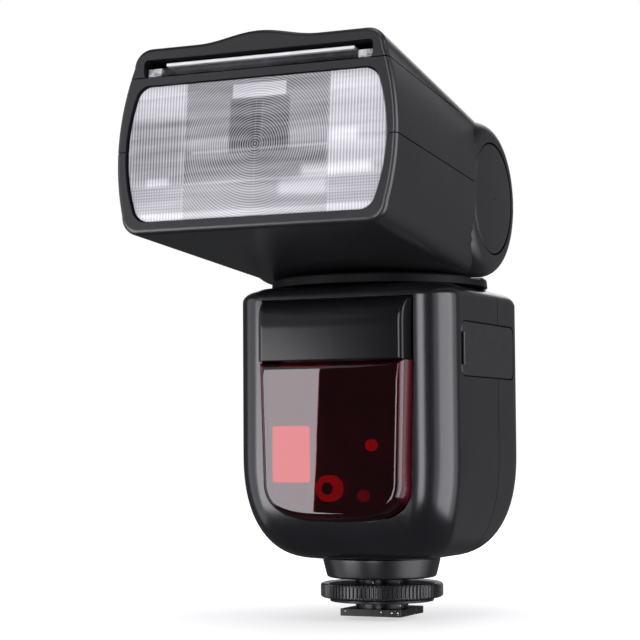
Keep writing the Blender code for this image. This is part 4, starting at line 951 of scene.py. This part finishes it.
edge = 1.3
front_turn = np.linspace(0.0, np.pi / 2, 6)
stations = [(-HEAD_LENGTH + edge * (1 - np.sin(t)), edge * (1 - np.cos(t))) for t in front_turn[::-1]]
stations += [(-HEAD_LENGTH + edge + (HUMP_LENGTH - edge) * i / 10, 0.0) for i in range(1, 11)]
stations += [(y, 0.0) for y in (-50.0, -40.0, -30.0, -20.0, -10.0, -2.0)]
head_form = solid("head_form", [head_outline(y, inset) for y, inset in stations])

ear_turn = np.linspace(0.0, np.pi / 2, 10)
ear_x = EAR_HALF - EAR_ROUND * (1 - np.cos(ear_turn))
ear_r = EAR_RADIUS - EAR_ROUND * (1 - np.sin(ear_turn))
ear_profile = np.concatenate(
    [[(-EAR_HALF, 0.5)], np.stack([-ear_x, ear_r], -1), np.stack([ear_x, ear_r], -1)[::-1], [(EAR_HALF, 0.5)]]
)
ears = turned("ears", ear_profile, "X", segments=128)
carve(head_form, ears, operation="UNION")

LENS_HIGH = 17.2
LENS_LOW = -18.4
LENS_HALF = 36.4
LENS_BULGE = 3.3
LENS_CORNER = 2.8


def lens_side(z, grow=0.0):
    """Half the lens's width at a height: bowed sides, and quarter circles at the corners."""
    z = np.asarray(z, float)
    half = LENS_HALF + grow - LENS_BULGE * (z / LENS_HIGH) ** 2
    into = np.maximum(z - (LENS_HIGH + grow - LENS_CORNER), (LENS_LOW - grow + LENS_CORNER) - z)
    into = np.clip(into, 0.0, LENS_CORNER)
    return half - LENS_CORNER + np.sqrt(np.maximum(LENS_CORNER**2 - into**2, 0.0))


def lens_heights(grow=0.0, inner=30, corner=9):
    """Heights from the lens's bottom to its top, close together at the corners."""
    low, high = LENS_LOW - grow, LENS_HIGH + grow
    bend = LENS_CORNER * (1 - np.cos(np.linspace(0.0, np.pi / 2, corner)))
    middle = np.linspace(low + LENS_CORNER, high - LENS_CORNER, inner)[1:-1]
    return np.concatenate([low + bend, middle, (high - bend)[::-1]])


heights = lens_heights(CLEARANCE)
lens_hole = np.stack([lens_side(heights, CLEARANCE), heights], -1)
lens_hole = np.concatenate([lens_hole, lens_hole[::-1] * (-1, 1)])
rim_back = -HEAD_LENGTH + RIM
through_rim = (-HEAD_LENGTH - PAST, rim_back + 0.2)
SLOT_HALF = 32.3
SLOT_HIGH = 24.3
slot_hole = round_rectangle((-SLOT_HALF, COVER_SEAM), (SLOT_HALF, SLOT_HIGH), 1.2)
carve(
    head_form,
    solid("cutter", [head_outline(y, 0.0, CASE_WALL) for y in (rim_back, -60.0, -40.0, COVER_END)]),
    prism("cutter", lens_hole, "Y", *through_rim),
    prism("cutter", slot_hole, "Y", *through_rim),
)

# Room for the yoke's barrel and neck, and a stepped recess for each hinge cap.
NECK_HALF_X = 23.6
BARREL_ROOM = 18.9
WEDGE_RADIUS = 29.8
ends = [(-NECK_HALF_X, 0.5), (-NECK_HALF_X, BARREL_ROOM), (NECK_HALF_X, BARREL_ROOM), (NECK_HALF_X, 0.5)]
barrel_room = turned("cutter", ends, "X")
wedge_angle = np.radians(np.linspace(-115.7, 31.1, 18))
wedge = WEDGE_RADIUS * np.stack([np.cos(wedge_angle), np.sin(wedge_angle)], -1)
wedge = np.concatenate([[(0.0, 0.0)], wedge])
carve(head_form, barrel_room, prism("cutter", wedge, "X", -NECK_HALF_X, NECK_HALF_X))
for side in (-1.0, 1.0):
    recess = [(27.0, 0.5), (27.0, 12.5), (32.7, 12.5), (32.7, 15.8), (45.0, 15.8), (45.0, 0.5)]
    carve(head_form, turned("cutter", [(side * x, r) for x, r in recess], "X"))


SEAM_FRONT = 0.1
SEAM_RISE = 1.3
WIDE = (-60.0, 60.0)
FAR = 90.0


def seam_block(offset, above):
    """All that lies above or below the middle seam, which climbs a little to the rear."""
    slope = SEAM_RISE / (HEAD_LENGTH - 15.5)
    low, high = (SEAM_FRONT + offset + reach * slope for reach in (-60.0, 140.0))
    rear, front = -HEAD_LENGTH + 140.0, -HEAD_LENGTH - 60.0
    end = FAR if above else -FAR
    return prism("cutter", [(front, low), (rear, high), (rear, end), (front, end)], "X", *WIDE)


def twin(piece, name):
    """A second object with its own mesh."""
    other = bpy.data.objects.new(name, piece.data.copy())
    bpy.context.scene.collection.objects.link(other)
    return other


def fit_to_head(piece, body, material, slot, *replaced):
    """Carry a piece from the head's own frame to its place, and fix it there."""
    piece.data.transform(HEAD)
    fit(piece, body, material, slot, *replaced)


half_gap = SEAM_GAP / 2
lower_shell = twin(head_form, "head_lower_casing")
carve(lower_shell, seam_block(-half_gap, True))
upper_shell = twin(head_form, "head_upper_casing")
cover_space = block(WIDE, (-120.0, COVER_END + half_gap), (COVER_SEAM - half_gap, FAR))
carve(upper_shell, seam_block(half_gap, False), cover_space)
top_cover = twin(head_form, "head_cover_casing")
under_cover = block(WIDE, (-120.0, 60.0), (-FAR, COVER_SEAM + half_gap))
carve(top_cover, under_cover, block(WIDE, (COVER_END - half_gap, 60.0), (-FAR, FAR)))
bpy.data.objects.remove(head_form)
head_plastic = black_plastic("head_plastic", roughness=0.33, gloss=0.5)
fit_to_head(lower_shell, "head", head_plastic, "black_plastic", "head_lower_shell")
fit_to_head(upper_shell, "head", head_plastic, "black_plastic", "head_upper_shell")
fit_to_head(top_cover, "head", head_plastic, "black_plastic", "head_top_cover")

# Hinge caps: slightly domed discs pressed into the ears.
CAP_RADIUS = 15.5
dome = np.linspace(1.0, 0.0, 9)[:-1]
for side, word in ((-1.0, "left"), (1.0, "right")):
    face = [(EAR_HALF + 0.6 - 0.5 * s**2, CAP_RADIUS * (0.04 + 0.9 * s)) for s in dome]
    profile = [(33.2, 0.6), (33.2, CAP_RADIUS), (EAR_HALF - 0.7, CAP_RADIUS)]
    profile += [(EAR_HALF - 0.2, CAP_RADIUS - 0.2), *face, (EAR_HALF + 0.6, 0.3)]
    cap = turned(f"hinge_cap_{word}_domed", [(side * x, r) for x, r in profile], "X", segments=128)
    fit_to_head(cap, "head", head_plastic, "black_plastic", f"hinge_cap_{word}")

# ----------------------------------------
# Lens: one clear acrylic moulding. The middle third has fine rings round the beam's axis, the
# outer thirds upright ribs, and the lower corners a diamond pattern that scatters the light.

LENS_FRONT = -HEAD_LENGTH + 0.9
LENS_THICK = 2.2
LENS_CROWN = 0.35
rows_z = lens_heights(0.0, 60, 9)
across = np.linspace(-1.0, 1.0, 81)


def lens_sheet(y, shrink=0.0):
    """One face of the lens: lines across it at each height, crowned a little in the middle."""
    x = (lens_side(rows_z)[:, None] - shrink) * across
    z = np.repeat(rows_z[:, None], len(across), 1)
    crown = LENS_CROWN * (1 - (x / LENS_HALF) ** 2) * (1 - (z / LENS_HIGH) ** 2)
    return np.stack([x, y - np.clip(crown, 0.0, 1.0), z], -1)


front_sheet = lens_sheet(LENS_FRONT, 0.3)
back_sheet = lens_sheet(LENS_FRONT + LENS_THICK) + (0.0, LENS_CROWN, 0.0)
middle_sheet = lens_sheet(LENS_FRONT + 0.4)


def rim_of(sheet):
    """The points round a sheet's edge, in order."""
    return np.concatenate([sheet[0], sheet[1:, -1], sheet[-1, -2::-1], sheet[-2:0:-1, 0]])


size_v, size_u = front_sheet.shape[:2]
grid = np.arange(size_v * size_u).reshape(size_v, size_u)
quads = np.stack([grid[:-1, :-1], grid[:-1, 1:], grid[1:, 1:], grid[1:, :-1]], -1).reshape(-1, 4)
offset = size_v * size_u
rim_index = rim_of(grid[..., None])[:, 0]
belt = np.arange(len(rim_index)) + 2 * offset
lens_faces = np.concatenate([quads, quads[:, ::-1] + offset])
round_front = np.stack([rim_index, belt, np.roll(belt, -1), np.roll(rim_index, -1)], -1)
round_back = np.stack([belt, rim_index + offset, np.roll(rim_index, -1) + offset, np.roll(belt, -1)], -1)
lens_points = np.concatenate([front_sheet.reshape(-1, 3), back_sheet.reshape(-1, 3), rim_of(middle_sheet)])
lens_mesh = bpy.data.meshes.new("lens_moulding")
lens_faces = np.concatenate([lens_faces, round_front, round_back])
lens_mesh.from_pydata((lens_points * MM).tolist(), [], lens_faces.tolist())
spot = lens_mesh.attributes.new("lens_place", "FLOAT_VECTOR", "POINT")
spot.data.foreach_set("vector", lens_points.astype(np.float32).ravel())
lens_tidy = bmesh.new()
lens_tidy.from_mesh(lens_mesh)
bmesh.ops.remove_doubles(lens_tidy, verts=lens_tidy.verts, dist=1e-6)
bmesh.ops.recalc_face_normals(lens_tidy, faces=lens_tidy.faces)
lens_tidy.to_mesh(lens_mesh)
lens_tidy.free()
lens_mesh.shade_smooth()
lens_mesh.set_sharp_from_angle(angle=math.radians(40.0))
lens = bpy.data.objects.new("lens_moulding", lens_mesh)
bpy.context.scene.collection.objects.link(lens)


def lens_acrylic():
    """Grooved acrylic over a bright reflector, from the place on the lens in millimetres.

    Rings are a sine of the distance from the axis, ribs a sine across, and each zone has its
    own depth and painted brightness. Soft-edged boxes are painted light and shade: painted
    reflections of the reflector's parts seen through it, and a lighter painted band lower down.
    """
    recipe = Recipe("lens_acrylic")
    place = recipe.new("Attribute")
    place.attribute_name = "lens_place"
    times, plus = recipe.times, recipe.plus
    x, _, z = recipe.apart(place.outputs["Vector"])
    x = recipe.math("SUBTRACT", x, 0.5)
    far = recipe.math("ABSOLUTE", x)
    inner = recipe.span(far, 19.9, 20.3, 1.0, 0.0)
    radius = recipe.math("SQRT", plus(times(x, x), times(z, z)))

    def wave(value, pitch):
        return recipe.math("SINE", times(value, 2 * math.pi / pitch))

    def window_of(value, low, high, soft):
        rise = recipe.span(value, low - soft, low + soft, 0.0, 1.0)
        fall = recipe.span(value, high - soft, high + soft, 1.0, 0.0)
        return times(rise, fall)

    def painted_patch(x_low, x_high, z_low, z_high, soft=0.3):
        return times(window_of(x, x_low, x_high, soft), window_of(z, z_low, z_high, soft))

    rings = wave(radius, 0.66)
    ribs = wave(x, 0.85)
    diamonds = times(wave(plus(x, z), 1.5), wave(recipe.math("SUBTRACT", x, z), 1.5))
    corner = times(recipe.span(far, 20.0, 20.4, 0.0, 1.0), window_of(z, -16.2, -9.5, 0.4))
    side = plus(times(ribs, recipe.math("SUBTRACT", 1.0, corner)), times(diamonds, corner))
    pattern = plus(times(rings, inner), times(side, recipe.math("SUBTRACT", 1.0, inner)))

    base = recipe.span(inner, 0.0, 1.0, 0.46, 0.29)
    # painted light: the lens grows lighter towards the bottom, where more light comes from below
    base = plus(base, recipe.span(z, -7.0, -13.0, 0.0, 0.10))
    # painted reflections and shade: soft boxes lighten or darken the lens where the reflector's parts show
    # through it
    for x_low, x_high, z_low, z_high, soft, painted_lift in (
        (-7.4, 9.3, -2.0, 12.0, 0.35, -0.12),
        (-1.2, 1.2, -3.2, 11.0, 0.5, -0.03),
        (-6.9, 8.1, 12.3, 15.9, 0.15, 0.30),
        (-20.0, 20.0, -7.5, -1.6, 1.2, -0.06),
        (-20.0, -7.6, -0.6, 2.4, 0.5, 0.10),
        (9.6, 20.0, -0.2, 3.4, 0.6, 0.10),
        (-18.0, 20.0, -1.6, -0.9, 0.3, 0.13),
        (20.4, 28.0, -0.8, 2.4, 0.9, 0.22),
        (13.0, 32.0, -8.8, -6.2, 0.8, 0.26),
        (-31.0, -24.5, -9.4, -7.2, 0.5, 0.20),
        (-20.0, 20.0, -9.6, -9.0, 0.25, 0.14),
        (-0.15, 0.05, -14.0, 11.5, 0.06, 0.07),
        (1.7, 1.9, -3.0, 11.5, 0.06, 0.07),
        (-35.0, -20.4, 14.2, 17.0, 0.3, 0.14),
        (20.4, 35.0, 12.4, 16.4, 0.3, 0.10),
        (-36.0, -20.2, -16.2, -9.5, 0.5, -0.10),
        (20.2, 36.0, -16.2, -9.5, 0.5, -0.12),
        (-36.0, -20.2, -7.0, 9.0, 2.0, -0.16),
        (-36.0, 36.0, -18.4, -16.6, 0.4, 0.22),
        (20.2, 36.0, -6.0, 16.0, 1.0, 0.08),
        (7.0, 20.0, -13.5, -10.0, 0.8, 0.20),
        (-36.0, -20.2, 8.5, 14.0, 1.0, 0.10),
        (-36.0, -20.2, -9.5, -6.0, 1.2, -0.08),
    ):
        base = plus(base, times(painted_patch(x_low, x_high, z_low, z_high, soft), painted_lift))
    streak = recipe.noise(0.3, 4.0, (0.12, 1.0, 1.6), source=place.outputs["Vector"])
    base = plus(base, recipe.span(streak, 0.3, 0.7, -0.07, 0.08))
    shade = plus(base, times(pattern, 0.14))
    recipe.set(
        Base_Color=recipe.mix(shade, (0.0, 0.0, 0.004), (0.80, 0.79, 0.815)),
        Roughness=0.34,
        Specular_IOR_Level=0.35,
    )
    recipe.bump(pattern, 0.00012, 0.35)
    recipe.veil(0.82)
    return recipe.material


fit_to_head(lens, "head", lens_acrylic(), "clear", "fresnel_lens")

# ----------------------------------------
# Under the top cover: the tray, the clear wide panel and the white bounce card.

dress("panel_tray", head_plastic, 0.3)


def clear_plastic(name, cover=0.3, tabs=None):
    """Clear moulded plastic: mostly see-through, with bright edges and moulded ripple.

    Past the distance tabs from the middle plane, in millimetres, it has frosted end tabs.
    """
    recipe = Recipe(name)
    cloud = recipe.two_tone(200.0, 0.4, 0.7, (0.008, 0.008, 0.01), (0.05, 0.05, 0.055), 3.0)
    if tabs:
        across = recipe.math("ABSOLUTE", recipe.apart(recipe.place)[0])
        ends = recipe.span(across, tabs * MM, (tabs + 0.5) * MM, 0.0, 1.0)
        frost = recipe.span(recipe.noise(350.0), 0.4, 0.6, 0.25, 1.0)
        cloud = recipe.mix(recipe.times(ends, frost), cloud, (0.9, 0.9, 0.92))
    recipe.set(Base_Color=cloud, Roughness=0.12, Specular_IOR_Level=0.6)
    recipe.bump(recipe.noise(500.0, 2.0, (1.0, 1.0, 3.0)), 0.0002, 0.5)
    recipe.veil(recipe.facing(0.4, cover, 0.9))
    return recipe.material


dress("wide_panel", clear_plastic("panel_clear", 0.35, 27.6), 0.2)
white_card = Recipe("card_white")
card_tone = white_card.two_tone(400.0, 0.3, 0.7, (0.48, 0.48, 0.49), (0.56, 0.56, 0.56), 3.0)
white_card.set(Base_Color=card_tone, Roughness=0.5)
white_card.bump(white_card.noise(3000.0), 0.00002, 0.4)
dress("bounce_card", white_card.material, 0.15)

# ----------------------------------------
# Behind the lens: the aluminium reflector and flash tube on the zoom carriage, and its drive.

bright_sheet = bare_metal("bright_reflector", (0.86, 0.86, 0.88), 0.16, (10.0, 1.0, 1.0))
dress("reflector", bright_sheet, 0.1)
dress("flash_tube", clear_plastic("tube_glass", 0.4), 0.3)
dress("zoom_carriage", soft_rubber("carriage_grey", (0.2, 0.2, 0.21), 0.5), 0.3)
dress("zoom_screw", zinc_steel, 0.1)
dress("zoom_motor", zinc_steel, 0.3)
